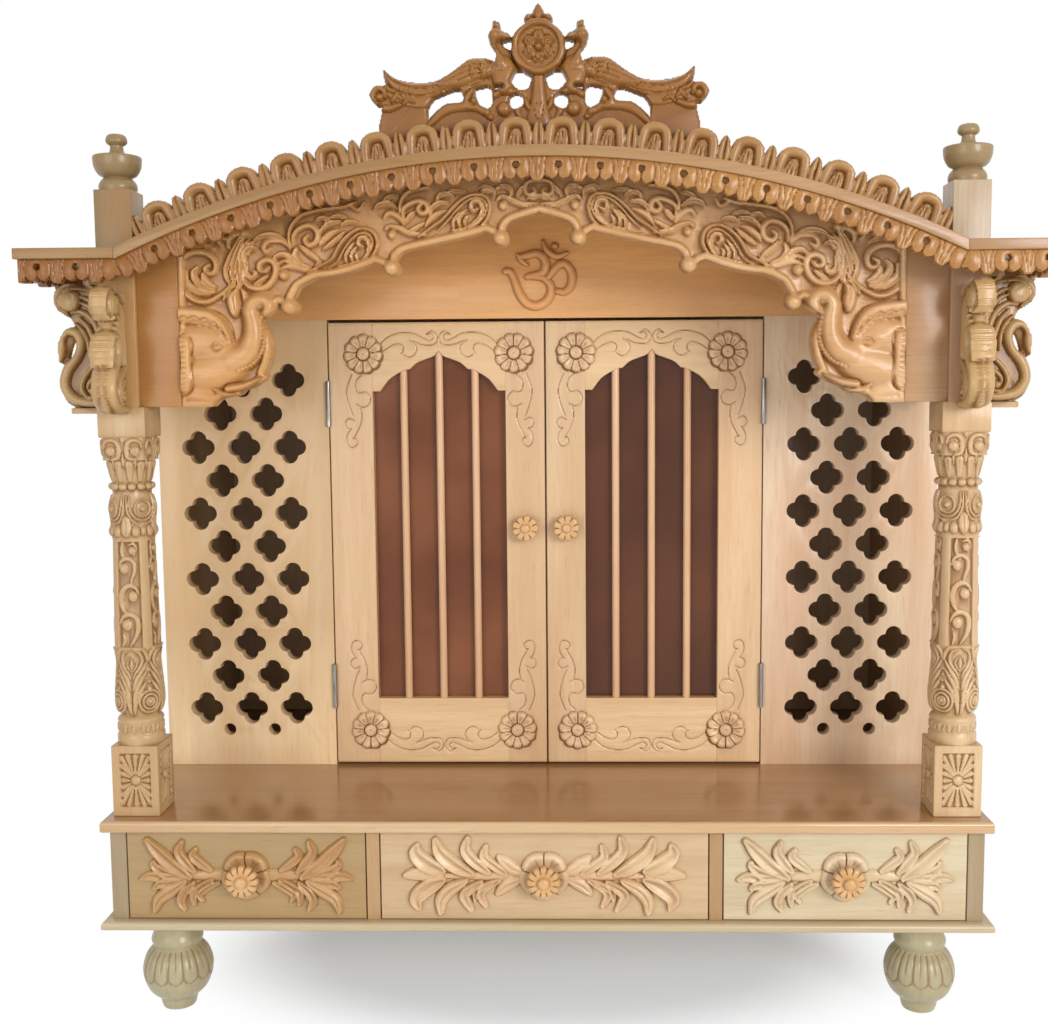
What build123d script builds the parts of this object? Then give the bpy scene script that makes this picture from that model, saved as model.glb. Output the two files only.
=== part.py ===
from build123d import *
import math
import os

# Pooja mandir, a wooden home temple. Millimetres, X to the right, Y to the back, Z up from the floor.
# The origin is under the middle of the roof.

# Whole
roof_depth = 610
shelf_width = 1110
eave_overhang = 66
shelf_setback = 46.5
clearance = 1.5
seat_gap = 0.3

# Feet
foot_height = 130
foot_radius = 45
foot_neck_radius = 30
foot_cup_radius = 24.5
foot_cup_height = 13
foot_inset = 68
foot_setback = 75.5

# Base with drawers
bottom_board_width = 1120
bottom_board_thickness = 10.5
bottom_board_setback = 3
base_width = 1096
base_height = 117.5
base_setback = 15
base_side_thickness = 20
divider_thickness = 16.5
base_back_thickness = 12
centre_bay_width = 414
shelf_thickness = 15
edge_round = 5

# Drawers
drawer_front_thickness = 20
drawer_wall = 9
drawer_bottom = 5
drawer_back_gap = 96.5
drawer_box_height = 88
drawer_knob_radius = 21
drawer_knob_reach = 34
drawer_flower_radius = 33
drawer_flower_thickness = 9

# Columns and upper posts
column_size = 59
column_inset = 40.5
column_setback = 19.5
plinth_block_height = 91
capital_block_height = 37
column_height = 515
upper_post_size = 45
finial_post_height = 76.5
finial_height = 70
finial_radius = 29

# Cabinet
porch_depth = 240
panel_thickness = 18
cabinet_back_thickness = 12
lintel_drop = 56
door_opening_width = 606

# Jali panels, pierced with four-lobed holes
jali_pitch_x = 64.5
jali_pitch_z = 93.3
jali_lobe_radius = 11.5
jali_lobe_offset = 11.5
jali_end_margin = 82
jali_end_hole_radius = 8.6

# Doors
door_thickness = 20
door_bottom_gap = 3.5
door_top_gap = 4.5
door_joint_gap = 1.5
door_hinge_stile = 61
door_meeting_stile = 54.5
door_bottom_rail = 93
door_top_rail = 39
door_arch_height = 56
glass_thickness = 4
glass_depth = 14
glass_lap = 8
bar_diameter = 10.5
bar_spacing = 50
bar_depth = 7.5
hinge_height = 63
hinge_radius = 3
hinge_leaf = 0.8
hinge_inset = 112
door_knob_radius = 18.5
door_knob_reach = 24
door_knob_inset = 28
door_knob_height = 338

# Eaves and roof
eave_height = 173
roof_thickness = 12.5
arch_rise = 110.5
valance_setback = 4
valance_thickness = 11
valance_drop = 28
valance_pitch = 48.8
valance_hole_radius = 3.8
crest_setback = 70
crest_thickness = 18
crest_pitch = 54
crest_height = 46
crest_end = 18.5
pediment_thickness = 22
pediment_half_width = 206
pediment_height = 185
medallion_radius = 32
apron_setback = 7
apron_thickness = 26
apron_end_width = 51
bracket_thickness = 27
bracket_reach = 61
bracket_height = 153
bracket_plate = 8.5
om_height = 92
om_gap = 12
om_shift = -2
om_thickness = 8

# Levels and planes that follow from the sizes above
roof_front = -roof_depth / 2
roof_back = roof_depth / 2
shelf_front = roof_front + shelf_setback
base_bottom = foot_height + bottom_board_thickness
base_top = base_bottom + base_height
shelf_top = base_top + shelf_thickness
column_x = shelf_width / 2 - column_inset
column_front = shelf_front + column_setback
column_y = column_front + column_size / 2
column_top = shelf_top + column_height
post_y = column_front + upper_post_size / 2
post_inner = column_x - upper_post_size / 2
post_outer = column_x + upper_post_size / 2
eave_bottom = column_top + eave_height
wing_top = eave_bottom + roof_thickness
arch_top = wing_top + arch_rise
cabinet_front = shelf_front + porch_depth
cabinet_half = column_x + column_size / 2
roof_half = cabinet_half + eave_overhang
lintel_bottom = eave_bottom - lintel_drop
door_half = door_opening_width / 2
door_bottom = shelf_top + door_bottom_gap
door_top = lintel_bottom - door_top_gap
door_spring = door_top - door_top_rail - door_arch_height
apron_front = column_front + apron_setback
apron_half_width = post_inner - apron_end_width

# The roof's arc springs where the wings end, at the posts' inner faces
arch_radius = (post_inner**2 + arch_rise**2) / (2 * arch_rise)
arch_centre_z = arch_top - arch_radius
underside_radius = arch_radius - roof_thickness
arch_angle = math.asin(post_inner / arch_radius)


def block(x0, x1, y0, y1, z0, z1):
    """A box between two corners."""
    middle = ((x0 + x1) / 2, (y0 + y1) / 2, (z0 + z1) / 2)
    return Pos(*middle) * Box(x1 - x0, y1 - y0, z1 - z0)


def front_plane(y, x=0.0, z=0.0):
    """Faces the front: its x runs along X and its y runs up, from the given point."""
    return Plane(origin=(x, y, z), x_dir=(1, 0, 0), z_dir=(0, -1, 0))


def side_plane(x, y=0.0, z=0.0):
    """Faces the right side: its x runs to the back and its y runs up."""
    return Plane(origin=(x, y, z), x_dir=(0, 1, 0), z_dir=(1, 0, 0))


def mirrored(solid):
    return mirror(solid, Plane.YZ)


def face_of(runs):
    """A face from runs of points. Two points make a line, three an arc, more a smooth curve."""
    edges = []
    for run in runs:
        if len(run) == 2:
            edges.append(Line(*run))
        elif len(run) == 3:
            edges.append(ThreePointArc(*run))
        else:
            edges.append(Spline(*run))
    return make_face(Curve() + edges)


def turned(profile):
    """A turned piece from (radius, height) points, smooth between the points of each run."""
    runs = [[(r, z) for r, z in run] for run in profile]
    foot, head = runs[0][0], runs[-1][-1]
    runs.append([head, (0, head[1])])
    runs.append([(0, head[1]), (0, foot[1])])
    runs.append([(0, foot[1]), foot])
    return revolve(Plane.XZ * face_of(runs), Axis.Z)


def arc_point(s, d, radius):
    """A point at distance s along an arc of the roof's centre, and d inward from it."""
    angle = s / radius
    reach = radius - d
    return (reach * math.sin(angle), arch_centre_z + reach * math.cos(angle))


def foot():
    """Turned bulb on a small cup, with a ring round its neck."""
    neck, cup, low = foot_neck_radius, foot_cup_radius, foot_cup_height
    bulb = foot_height * 0.64 - low
    return turned([
        [(cup - 3.5, 0), (cup, low)],
        [(cup, low), (foot_radius * 0.85, low + bulb * 0.2), (foot_radius, low + bulb * 0.53),
         (foot_radius * 0.9, low + bulb * 0.82), (neck, low + bulb)],
        [(neck, low + bulb), (neck + 3, low + bulb + 9), (neck, low + bulb + 18)],
        [(neck, low + bulb + 18), (neck, foot_height)],
    ])


def rounded_board(half_width, y0, y1, z0, z1):
    """A board whose front and side edges are rounded, on top more than below."""
    board = block(-half_width, half_width, y0, y1, z0, z1)
    rim = board.edges().filter_by(Axis.Z, reverse=True).filter_by(lambda e: e.center().Y < y1 - 1)
    upper = rim.filter_by(lambda e: e.center().Z > z1 - 0.1)
    board = fillet(upper, edge_round)
    lower = board.edges().filter_by(lambda e: e.center().Z < z0 + 0.1 and e.center().Y < y1 - 1)
    return fillet(lower, edge_round / 2)


def column():
    """Square plinth block, carved shaft and square capital block in one length of timber."""
    half = column_size / 2
    shaft_bottom = plinth_block_height
    shaft_top = column_height - capital_block_height
    cap_bottom = shaft_top - 28
    shaft = turned([
        [(half - 1, shaft_bottom), (half, shaft_bottom + 14), (half - 2, shaft_bottom + 31)],
        [(half - 2, shaft_bottom + 31), (half - 7, shaft_bottom + 36)],
        [(half - 7, shaft_bottom + 36), (half, shaft_bottom + 75), (half - 3, shaft_bottom + 122)],
        [(half - 3, shaft_bottom + 122), (half - 5, shaft_top - 127)],
        [(half - 5, shaft_top - 127), (half, shaft_top - 98), (half - 3, shaft_top - 70)],
        [(half - 3, shaft_top - 70), (half - 1, shaft_top - 61), (half - 3, shaft_top - 53)],
        [(half - 3, shaft_top - 53), (half - 8, shaft_top - 42), (half - 3, cap_bottom)],
        [(half - 3, cap_bottom), (half - 3, shaft_top)],
    ])
    plinth = block(-half, half, -half, half, 0, shaft_bottom)
    cap = block(-half + 1, half - 1, -half + 1, half - 1, cap_bottom, shaft_top)
    capital = block(-half, half, -half, half, shaft_top, column_height)
    return plinth + shaft + cap + capital


def finial():
    r, h = finial_radius, finial_height
    return turned([
        [(r * 0.74, 0), (r * 0.76, h * 0.12), (r * 0.56, h * 0.24)],
        [(r * 0.56, h * 0.24), (r * 0.92, h * 0.37), (r, h * 0.57)],
        [(r, h * 0.57), (r * 0.93, h * 0.61)],
        [(r * 0.93, h * 0.61), (r * 0.4, h * 0.63)],
        [(r * 0.4, h * 0.63), (r * 0.28, h * 0.7), (r * 0.27, h * 0.79)],
        [(r * 0.27, h * 0.79), (r * 0.43, h * 0.87), (r * 0.36, h * 0.96)],
        [(r * 0.36, h * 0.96), (r * 0.15, h)],
    ])


def quatrefoil():
    """Outline of one four-lobed hole about its centre."""
    petals = [Pos(dx, dz) * Circle(jali_lobe_radius) for dx, dz in
              ((jali_lobe_offset, 0), (-jali_lobe_offset, 0), (0, jali_lobe_offset), (0, -jali_lobe_offset))]
    return petals[0] + petals[1:]


def jali_panel():
    """The right panel. Rows of three holes alternate with rows of two, with a round hole at each end."""
    width = cabinet_half - door_half
    height = lintel_bottom - shelf_top
    panel = block(door_half, cabinet_half, cabinet_front, cabinet_front + panel_thickness, shelf_top, lintel_bottom)
    centre = door_half + width / 2
    rows = 1 + round((height - 2 * jali_end_margin) / jali_pitch_z)
    lowest = (height - (rows - 1) * jali_pitch_z) / 2
    front = front_plane(cabinet_front + panel_thickness, centre, shelf_top)
    for step in range(2 * rows - 1):
        offsets = (-0.5, 0.5) if step % 2 else (-1, 0, 1)
        for offset in offsets:
            hole = front * Pos(offset * jali_pitch_x, lowest + step * jali_pitch_z / 2) * quatrefoil()
            panel -= extrude(hole, panel_thickness)
    end_offset = jali_pitch_z / 3
    for x in (-jali_pitch_x / 2, jali_pitch_x / 2):
        for z in (lowest - end_offset, height - lowest + end_offset):
            panel -= extrude(front * Pos(x, z) * Circle(jali_end_hole_radius), panel_thickness)
    return panel


def under_roof_board(half_width, y, thickness, bottom):
    """A board from a level edge up to the underside of the wings and of the arched roof."""
    crown = (0, arch_centre_z + underside_radius)
    start = (post_inner, math.sqrt(underside_radius**2 - post_inner**2) + arch_centre_z)
    outline = face_of([
        [(-half_width, bottom), (half_width, bottom)],
        [(half_width, bottom), (half_width, eave_bottom)],
        [(half_width, eave_bottom), (post_inner, eave_bottom)],
        [(post_inner, eave_bottom), start],
        [start, crown, (-start[0], start[1])],
        [(-start[0], start[1]), (-post_inner, eave_bottom)],
        [(-post_inner, eave_bottom), (-half_width, eave_bottom)],
        [(-half_width, eave_bottom), (-half_width, bottom)],
    ])
    return extrude(front_plane(y + thickness) * outline, thickness)


def door_opening(centre):
    """The cusped opening of a door, as a face in the front view."""
    w = (door_width() - door_hinge_stile - door_meeting_stile) / 2
    low = door_bottom + door_bottom_rail
    spring = door_spring
    h = door_arch_height
    half = [
        [(0, low), (w, low)],
        [(w, low), (w, spring)],
        [(w, spring), (w - 10, spring)],
        [(w - 10, spring), (w * 0.74, spring + h * 0.31), (w * 0.52, spring + h * 0.53)],
        [(w * 0.52, spring + h * 0.53), (w * 0.44, spring + h * 0.54)],
        [(w * 0.44, spring + h * 0.54), (w * 0.33, spring + h * 0.7), (w * 0.18, spring + h * 0.8)],
        [(w * 0.18, spring + h * 0.8), (w * 0.07, spring + h * 0.87), (0, spring + h)],
    ]
    other = [[(-x, z) for x, z in reversed(run)] for run in reversed(half)]
    return Pos(centre, 0) * face_of(half + other)


def door_width():
    return door_half - door_joint_gap * 1.5


def door_right():
    """Frame, glass, bars and knob of the right door."""
    inner = door_joint_gap / 2
    outer = inner + door_width()
    centre = (inner + door_meeting_stile + outer - door_hinge_stile) / 2
    back = cabinet_front + door_thickness
    opening = door_opening(centre)
    frame = block(inner, outer, cabinet_front, back, door_bottom, door_top)
    frame -= extrude(front_plane(back) * opening, door_thickness)
    rebate_half = (outer - inner - door_hinge_stile - door_meeting_stile) / 2 + glass_lap
    rebate_low = door_bottom + door_bottom_rail - glass_lap
    rebate_high = door_spring + door_arch_height + glass_lap
    pane = (centre - rebate_half, centre + rebate_half)
    frame -= block(*pane, cabinet_front + glass_depth, back, rebate_low, rebate_high)
    glass = block(*pane, cabinet_front + glass_depth, cabinet_front + glass_depth + glass_thickness,
                  rebate_low, rebate_high)
    light = extrude(front_plane(back) * opening, door_thickness)
    bars = []
    for offset in (-bar_spacing, 0, bar_spacing):
        rod = Pos(centre + offset, cabinet_front + bar_depth, (door_bottom + door_top) / 2)
        rod = rod * Cylinder(bar_diameter / 2, door_top - door_bottom)
        bars.append(rod & light)
    knob_at = front_plane(cabinet_front, inner + door_knob_inset, door_bottom + door_knob_height)
    return frame, glass, Compound(bars), knob_at * flower_knob(door_knob_radius, door_knob_reach, 8)


def flower_knob(radius, reach, petals):
    """A round knob with a scalloped flower head, standing out of the plane z = 0."""
    neck = extrude(Circle(radius * 0.5), reach * 0.4)
    lobe = radius * math.pi / petals
    ring = radius - lobe
    rim = Circle(ring)
    for number in range(petals):
        angle = 360 / petals * number
        rim += Rot(0, 0, angle) * Pos(ring, 0) * Circle(lobe)
    head = Pos(0, 0, reach * 0.4) * extrude(rim, reach * 0.4)
    boss = Pos(0, 0, reach * 0.8) * extrude(Circle(radius * 0.35), reach * 0.2)
    return neck + head + boss


def hinges_right():
    """Two butt hinges, each with its knuckle in front of the joint and one leaf on the panel's edge."""
    pair = []
    for z in (door_bottom + hinge_inset, door_top - hinge_inset):
        knuckle = Pos(hinge_x(), hinge_y(), z) * Cylinder(hinge_radius, hinge_height)
        leaf = block(door_half - hinge_leaf, door_half, hinge_y(), cabinet_front + panel_thickness - 4,
                     z - hinge_height / 2, z + hinge_height / 2)
        pair.append(knuckle + leaf)
    return Compound(pair)


def hinge_x():
    return door_half - door_joint_gap / 2


def hinge_y():
    return cabinet_front - hinge_radius - seat_gap


def drawer(x0, x1):
    """Front, box and knob of one drawer between two uprights of the base."""
    x0, x1 = x0 + clearance, x1 - clearance
    y0 = shelf_front + base_setback
    front_back = y0 + drawer_front_thickness
    front = block(x0, x1, y0, front_back, base_bottom + clearance, base_top - clearance)
    box_back = roof_back - base_back_thickness - drawer_back_gap
    low = base_bottom + seat_gap
    box = block(x0, x1, front_back, box_back, low, low + drawer_box_height)
    box -= block(x0 + drawer_wall, x1 - drawer_wall, front_back + drawer_wall, box_back - drawer_wall,
                 low + drawer_bottom, low + drawer_box_height)
    place = front_plane(y0, (x0 + x1) / 2, (base_bottom + base_top) / 2)
    flower = place * extrude(flower_outline(drawer_flower_radius, 5), drawer_flower_thickness)
    stem = drawer_knob_reach - drawer_flower_thickness
    knob = place * Pos(0, 0, drawer_flower_thickness) * flower_knob(drawer_knob_radius, stem, 8)
    return front, box, flower + knob


def flower_outline(radius, petals):
    lobe = radius * math.sin(math.pi / petals) * 0.75
    ring = radius - lobe
    outline = Circle(ring)
    for number in range(petals):
        outline += Rot(0, 0, 360 / petals * number + 90) * Pos(ring, 0) * Circle(lobe)
    return outline


def valance_cell(place, half):
    """Lower edge of one scallop, from pendant tip over two lobes beside the hole to the next tip."""
    points = [(-half, 28), (-half + 5, 26.5), (-14, 22), (-7, 25), (0, 21), (7, 25), (14, 22),
              (half - 5, 26.5), (half, 28)]
    deep = [place(s, d * valance_drop / 28) for s, d in points]
    return [deep[0:3], deep[2:5], deep[4:7], deep[6:9]]


def valance_front():
    """Scalloped board under the roof's front edge, with a pendant at the crown and half a cell at each mitre."""
    arc_length = underside_radius * math.asin(post_inner / underside_radius)
    arc_cells = max(1, round(arc_length / valance_pitch - 0.5))
    arc_pitch = arc_length / (arc_cells + 0.5)
    tip = roof_half - valance_setback
    wing_cells = max(1, round((tip - post_inner) / valance_pitch - 0.5))
    wing_pitch = (tip - post_inner) / (wing_cells + 0.5)
    hole_depth = valance_drop * 0.31

    def on_arc(s, d):
        return arc_point(s, d, underside_radius)

    def on_wing(s, d):
        return (post_inner + s, eave_bottom - d)

    right, holes = [], []
    for number in range(arc_cells):
        middle = (number + 0.5) * arc_pitch
        right += valance_cell(lambda s, d: on_arc(middle + s, d), arc_pitch / 2)
        holes.append(on_arc(middle, hole_depth))
    before_mitre = valance_cell(lambda s, d: on_arc(arc_length + s, d), arc_pitch / 2)[:2]
    after_mitre = valance_cell(on_wing, wing_pitch / 2)[2:]
    right += before_mitre + [[before_mitre[-1][-1], after_mitre[0][0]]] + after_mitre
    for number in range(1, wing_cells + 1):
        right += valance_cell(lambda s, d: on_wing(number * wing_pitch + s, d), wing_pitch / 2)
        holes.append(on_wing(number * wing_pitch, hole_depth))
    corner = (post_inner, eave_bottom)
    spring = (post_inner, math.sqrt(underside_radius**2 - post_inner**2) + arch_centre_z)
    right += [[right[-1][-1], (tip, eave_bottom)], [(tip, eave_bottom), corner], [corner, spring]]
    left = [[(-x, z) for x, z in reversed(run)] for run in reversed(right)]
    crown = (0, arch_centre_z + underside_radius)
    face = face_of(left + right + [[spring, crown, (-spring[0], spring[1])]])
    board = extrude(front_plane(roof_front + valance_setback + valance_thickness) * face, valance_thickness)
    for x, z in holes + [(-x, z) for x, z in holes]:
        drill = Pos(x, roof_front + valance_setback + valance_thickness / 2, z) * Rot(90, 0, 0)
        board -= drill * Cylinder(valance_hole_radius, valance_thickness * 2)
    return board


def valance_side():
    """Scalloped board along the right end of the roof, behind the front valance."""
    start = roof_front + valance_setback + valance_thickness
    length = roof_back - start
    cells = round(length / valance_pitch)
    pitch = length / cells
    runs = []
    x = roof_half - valance_setback
    hole_depth = valance_drop * 0.31
    for number in range(cells):
        middle = start + (number + 0.5) * pitch
        runs += valance_cell(lambda s, d: (middle + s, eave_bottom - d), pitch / 2)
    face = face_of(runs + [
        [runs[-1][-1], (roof_back, eave_bottom)],
        [(roof_back, eave_bottom), (start, eave_bottom)],
        [(start, eave_bottom), runs[0][0]],
    ])
    board = extrude(side_plane(x - valance_thickness) * face, valance_thickness)
    for number in range(cells):
        drill = Pos(x, start + (number + 0.5) * pitch, eave_bottom - hole_depth) * Rot(0, 90, 0)
        board -= drill * Cylinder(valance_hole_radius, valance_thickness * 3)
    return board


def roof_arch():
    ends = [arc_point(side * arch_angle * arch_radius, 0, arch_radius) for side in (-1, 1)]
    low_z = math.sqrt(underside_radius**2 - post_inner**2) + arch_centre_z
    face = face_of([
        [ends[0], (0, arch_top), ends[1]],
        [ends[1], (post_inner, low_z)],
        [(post_inner, low_z), (0, arch_top - roof_thickness), (-post_inner, low_z)],
        [(-post_inner, low_z), ends[0]],
    ])
    return extrude(front_plane(roof_back) * face, roof_depth)


def roof_wing():
    """The flat right wing, notched where the upper post comes through."""
    wing = block(post_inner, roof_half, roof_front, roof_back, eave_bottom, wing_top)
    notch = block(post_inner, post_outer, post_y - upper_post_size / 2, post_y + upper_post_size / 2,
                  eave_bottom, wing_top)
    return wing - notch


def leaf_crest():
    """Row of rounded leaves with small buds between them, on top of the arched roof between the posts."""
    half_length = arch_angle * arch_radius
    half_leaves = half_length - crest_end
    count = 2 * round(half_leaves / crest_pitch)
    pitch = 2 * half_leaves / count
    first = [arc_point(-half_length, -crest_height * h, arch_radius) for h in (0, 0.62)]
    bud = arc_point(-half_length + crest_end / 2, -crest_height * 0.82, arch_radius)
    runs = []
    for number in range(count):
        middle = -half_leaves + (number + 0.5) * pitch

        def at(s, h):
            return arc_point(middle + s, -h, arch_radius)

        runs += [
            [at(-pitch / 2, crest_height * 0.84), at(-pitch * 0.42, crest_height * 0.8),
             at(-pitch * 0.36, crest_height * 0.64)],
            [at(-pitch * 0.36, crest_height * 0.64), at(0, crest_height), at(pitch * 0.36, crest_height * 0.64)],
            [at(pitch * 0.36, crest_height * 0.64), at(pitch * 0.42, crest_height * 0.8),
             at(pitch / 2, crest_height * 0.84)],
        ]
    left_end = [[first[0], first[1]], [first[1], bud, runs[0][0]]]
    right_end = [[(-x, z) for x, z in reversed(run)] for run in reversed(left_end)]
    seat = [(-first[0][0], first[0][1]), (0, arch_top), first[0]]
    face = face_of(left_end + runs + right_end + [seat])
    crest = extrude(front_plane(roof_front + crest_setback + crest_thickness) * face, crest_thickness)
    inside = block(-post_inner, post_inner, roof_front, roof_back, 0, arch_top * 2)
    return crest & inside


def peacock_pediment():
    """Pierced crown: two peacocks on either side of a flower medallion, on a rail that sits on the roof."""
    wide = pediment_half_width / 206
    tall = pediment_height / 185
    medallion_z = arch_top + 132 * tall

    def up(points):
        return [(x * wide, arch_top + z * tall) for x, z in points]

    half = [
        up([(0, 185), (5, 178), (9, 173)]),
        up([(9, 173), (17, 169), (16, 160)]),
        up([(16, 160), (24, 153), (31, 146)]),
        up([(31, 146), (38, 152), (44, 156), (46, 164)]),
        up([(46, 164), (55, 164)]),
        up([(55, 164), (60, 150), (58, 138), (51, 126), (53, 117)]),
        up([(53, 117), (64, 122), (82, 121), (97, 111), (112, 101), (133, 94), (157, 95), (177, 101), (189, 112)]),
        up([(189, 112), (187, 101), (186, 91)]),
        up([(186, 91), (200, 89), (206, 79), (199, 68), (190, 65)]),
        up([(190, 65), (194, 50), (196, 40)]),
        [up([(196, 40)])[0], arc_point(197 * wide, 0, arch_radius)],
    ]
    other = [[(-x, z) for x, z in reversed(run)] for run in reversed(half)]
    base = [[half[-1][-1], (0, arch_top), other[0][0]]]
    face = face_of(half + base + other)
    holes = [
        [up([(34, 136), (33, 141), (45, 139)]), up([(45, 139), (40, 134), (34, 131)]), up([(34, 131), (34, 136)])],
        [up([(19, 108), (28, 103), (34, 92)]), up([(34, 92), (24, 84), (10, 85)]), up([(10, 85), (7, 99), (19, 108)])],
        [up([(60, 86), (76, 86), (75, 75)]), up([(75, 75), (66, 63), (57, 72)]), up([(57, 72), (55, 80), (60, 86)])],
        [up([(134, 51), (112, 69), (94, 71)]), up([(94, 71), (97, 84), (127, 74)]), up([(127, 74), (137, 62), (134, 51)])],
    ]
    for runs in holes:
        opening = face_of(runs)
        face -= opening
        face -= mirror(opening, Plane.YZ)
    for side in (-1, 1):
        face -= Pos(side * 27 * wide, arch_top + 70 * tall) * Circle(8 * tall)
    y = roof_front + crest_setback + crest_thickness
    pediment = extrude(front_plane(y + pediment_thickness) * face, pediment_thickness)
    rim = Pos(0, y + pediment_thickness / 2, medallion_z) * Rot(90, 0, 0)
    return pediment + rim * Cylinder(medallion_radius, pediment_thickness)


def arch_apron():
    """Cusped board between the posts: elephant heads at its ends and scrolls with balls along its edge."""
    wide = apron_half_width / 441
    tall = eave_height / 173

    def up(points):
        return [(x * wide, column_top + z * tall) for x, z in points]

    low = [
        up([(0, 231), (2, 230)]),
        up([(2, 230), (18, 226), (33, 221), (40, 214), (41, 207)]),
        up([(41, 207), (46, 192), (58, 206)]),
        up([(58, 206), (64, 209)]),
        up([(64, 209), (87, 203), (124, 195), (161, 187), (172, 180)]),
        up([(172, 180), (176, 158), (193, 171)]),
        up([(193, 171), (199, 173)]),
        up([(199, 173), (224, 164), (249, 158), (272, 155), (291, 146), (297, 138)]),
        up([(297, 138), (308, 118), (318, 126)]),
        up([(318, 126), (321, 118), (332, 110), (339, 104)]),
        up([(339, 104), (331, 88), (329, 72), (332, 55), (338, 41)]),
        up([(338, 41), (336, 35), (351, 25)]),
        up([(351, 25), (364, 20), (372, 14), (393, 10), (404, 0)]),
        up([(404, 0), (441, 0)]),
    ]
    top = math.sqrt(underside_radius**2 - apron_half_width**2) + arch_centre_z
    outer = [[(apron_half_width, column_top), (apron_half_width, top)]]
    crown = [[(apron_half_width, top), (0, arch_centre_z + underside_radius), (-apron_half_width, top)]]
    half = low + outer
    other = [[(-x, z) for x, z in reversed(run)] for run in reversed(half)]
    face = face_of(half + crown + other)
    return extrude(front_plane(apron_front + apron_thickness) * face, apron_thickness)


def apron_end():
    """Plain board between the carved apron and the right post, up to the roof."""
    def roof_z(x):
        return math.sqrt(underside_radius**2 - x**2) + arch_centre_z

    middle = (apron_half_width + post_inner) / 2
    face = face_of([
        [(apron_half_width, column_top), (post_inner, column_top)],
        [(post_inner, column_top), (post_inner, roof_z(post_inner))],
        [(post_inner, roof_z(post_inner)), (middle, roof_z(middle)), (apron_half_width, roof_z(apron_half_width))],
        [(apron_half_width, roof_z(apron_half_width)), (apron_half_width, column_top)],
    ])
    return extrude(front_plane(apron_front + apron_thickness) * face, apron_thickness)


def bracket():
    """Swan-necked bracket in its own plane: x out from the post, y up from the top of the capital."""
    wide = bracket_reach / 61
    tall = bracket_height / 153
    edge = [
        [(0, 0), (42, 0)],
        [(42, 0), (52, 7), (59, 24), (58, 40), (54, 52)],
        [(54, 52), (58, 56), (57, 62)],
        [(57, 62), (58, 73), (54, 85), (47, 96), (38, 100)],
        [(38, 100), (44, 110), (57, 120), (61, 134), (54, 148), (40, 153), (22, 148)],
        [(22, 148), (0, 148)],
        [(0, 148), (0, 0)],
    ]
    eye = [
        [(36, 84), (33, 72), (37, 62), (46, 57)],
        [(46, 57), (46, 66), (42, 76), (36, 84)],
    ]
    outline, hole = [face_of([[(x * wide, z * tall) for x, z in run] for run in runs]) for runs in (edge, eye)]
    return outline - hole


def bracket_side():
    half = bracket_thickness / 2
    plane = front_plane(post_y + half, post_outer, column_top)
    body = extrude(plane * bracket(), bracket_thickness)
    head = block(post_outer, post_outer + bracket_reach / 3, post_y - half, post_y + half,
                 column_top + bracket_height * 0.9, eave_bottom)
    plate = block(cabinet_half, post_outer + bracket_reach * 0.7, post_y - half, post_y + half,
                  column_top - bracket_plate, column_top)
    return body + head + plate


def bracket_front():
    half = bracket_thickness / 2
    plane = Plane(origin=(column_x + half, column_front, column_top - bracket_plate), x_dir=(0, -1, 0),
                  z_dir=(-1, 0, 0))
    return extrude(plane * bracket(), bracket_thickness)


def om_carving():
    """The sacred syllable as a traditional fretwork sign on the lintel board."""
    strokes = [
        [(-31, 71), (-9, 75.5), (4, 62), (-6, 47), (-21, 44.5)],
        [(-12, 44.5), (9.5, 34), (4.5, 11), (-9, 4.5), (-23, 9), (-33, 23), (-39, 40), (-51, 52)],
        [(7, 42), (21, 59), (37.5, 54), (38, 31), (20, 24.5)],
        [(1, 90), (12, 74.5), (34, 76)],
    ]
    unit = om_height / 92
    sign = Pos(17 * unit, 85.5 * unit) * Circle(5.4 * unit)
    for points in strokes:
        sign += trace(Spline(*[(x * unit, z * unit) for x, z in points]), 9 * unit)
    plane = front_plane(cabinet_front, om_shift, lintel_bottom + om_gap)
    return extrude(plane * sign, om_thickness)


parts = {}
parts["foot_front_right"] = Pos(shelf_width / 2 - foot_inset, shelf_front + foot_setback, 0) * foot()
parts["foot_back_right"] = Pos(shelf_width / 2 - foot_inset, roof_back - foot_setback, 0) * foot()
parts["bottom_board"] = rounded_board(bottom_board_width / 2, shelf_front + bottom_board_setback, roof_back,
                                      foot_height, base_bottom)
parts["shelf_slab"] = rounded_board(shelf_width / 2, shelf_front, roof_back, base_top, shelf_top)

base_front = shelf_front + base_setback
base_inner = base_width / 2 - base_side_thickness
parts["base_side_right"] = block(base_inner, base_width / 2, base_front, roof_back, base_bottom, base_top)
parts["base_back"] = block(-base_inner, base_inner, roof_back - base_back_thickness, roof_back,
                           base_bottom, base_top)
divider_x = centre_bay_width / 2
parts["base_divider_right"] = block(divider_x, divider_x + divider_thickness, base_front,
                                    roof_back - base_back_thickness, base_bottom, base_top)

bays = {
    "left": (-base_inner, -divider_x - divider_thickness),
    "centre": (-divider_x, divider_x),
    "right": (divider_x + divider_thickness, base_inner),
}
for side, (x0, x1) in bays.items():
    front, box, knob = drawer(x0, x1)
    parts[f"drawer_{side}_front"] = front
    parts[f"drawer_{side}_box"] = box
    parts[f"drawer_{side}_knob"] = knob

parts["column_right"] = Pos(column_x, column_y, shelf_top) * column()
parts["upper_post_right"] = block(post_inner, post_outer, post_y - upper_post_size / 2,
                                  post_y + upper_post_size / 2, column_top, wing_top + finial_post_height)
parts["finial_right"] = Pos(column_x, post_y, wing_top + finial_post_height) * finial()
parts["bracket_side_right"] = bracket_side()
parts["bracket_front_right"] = bracket_front()

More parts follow.
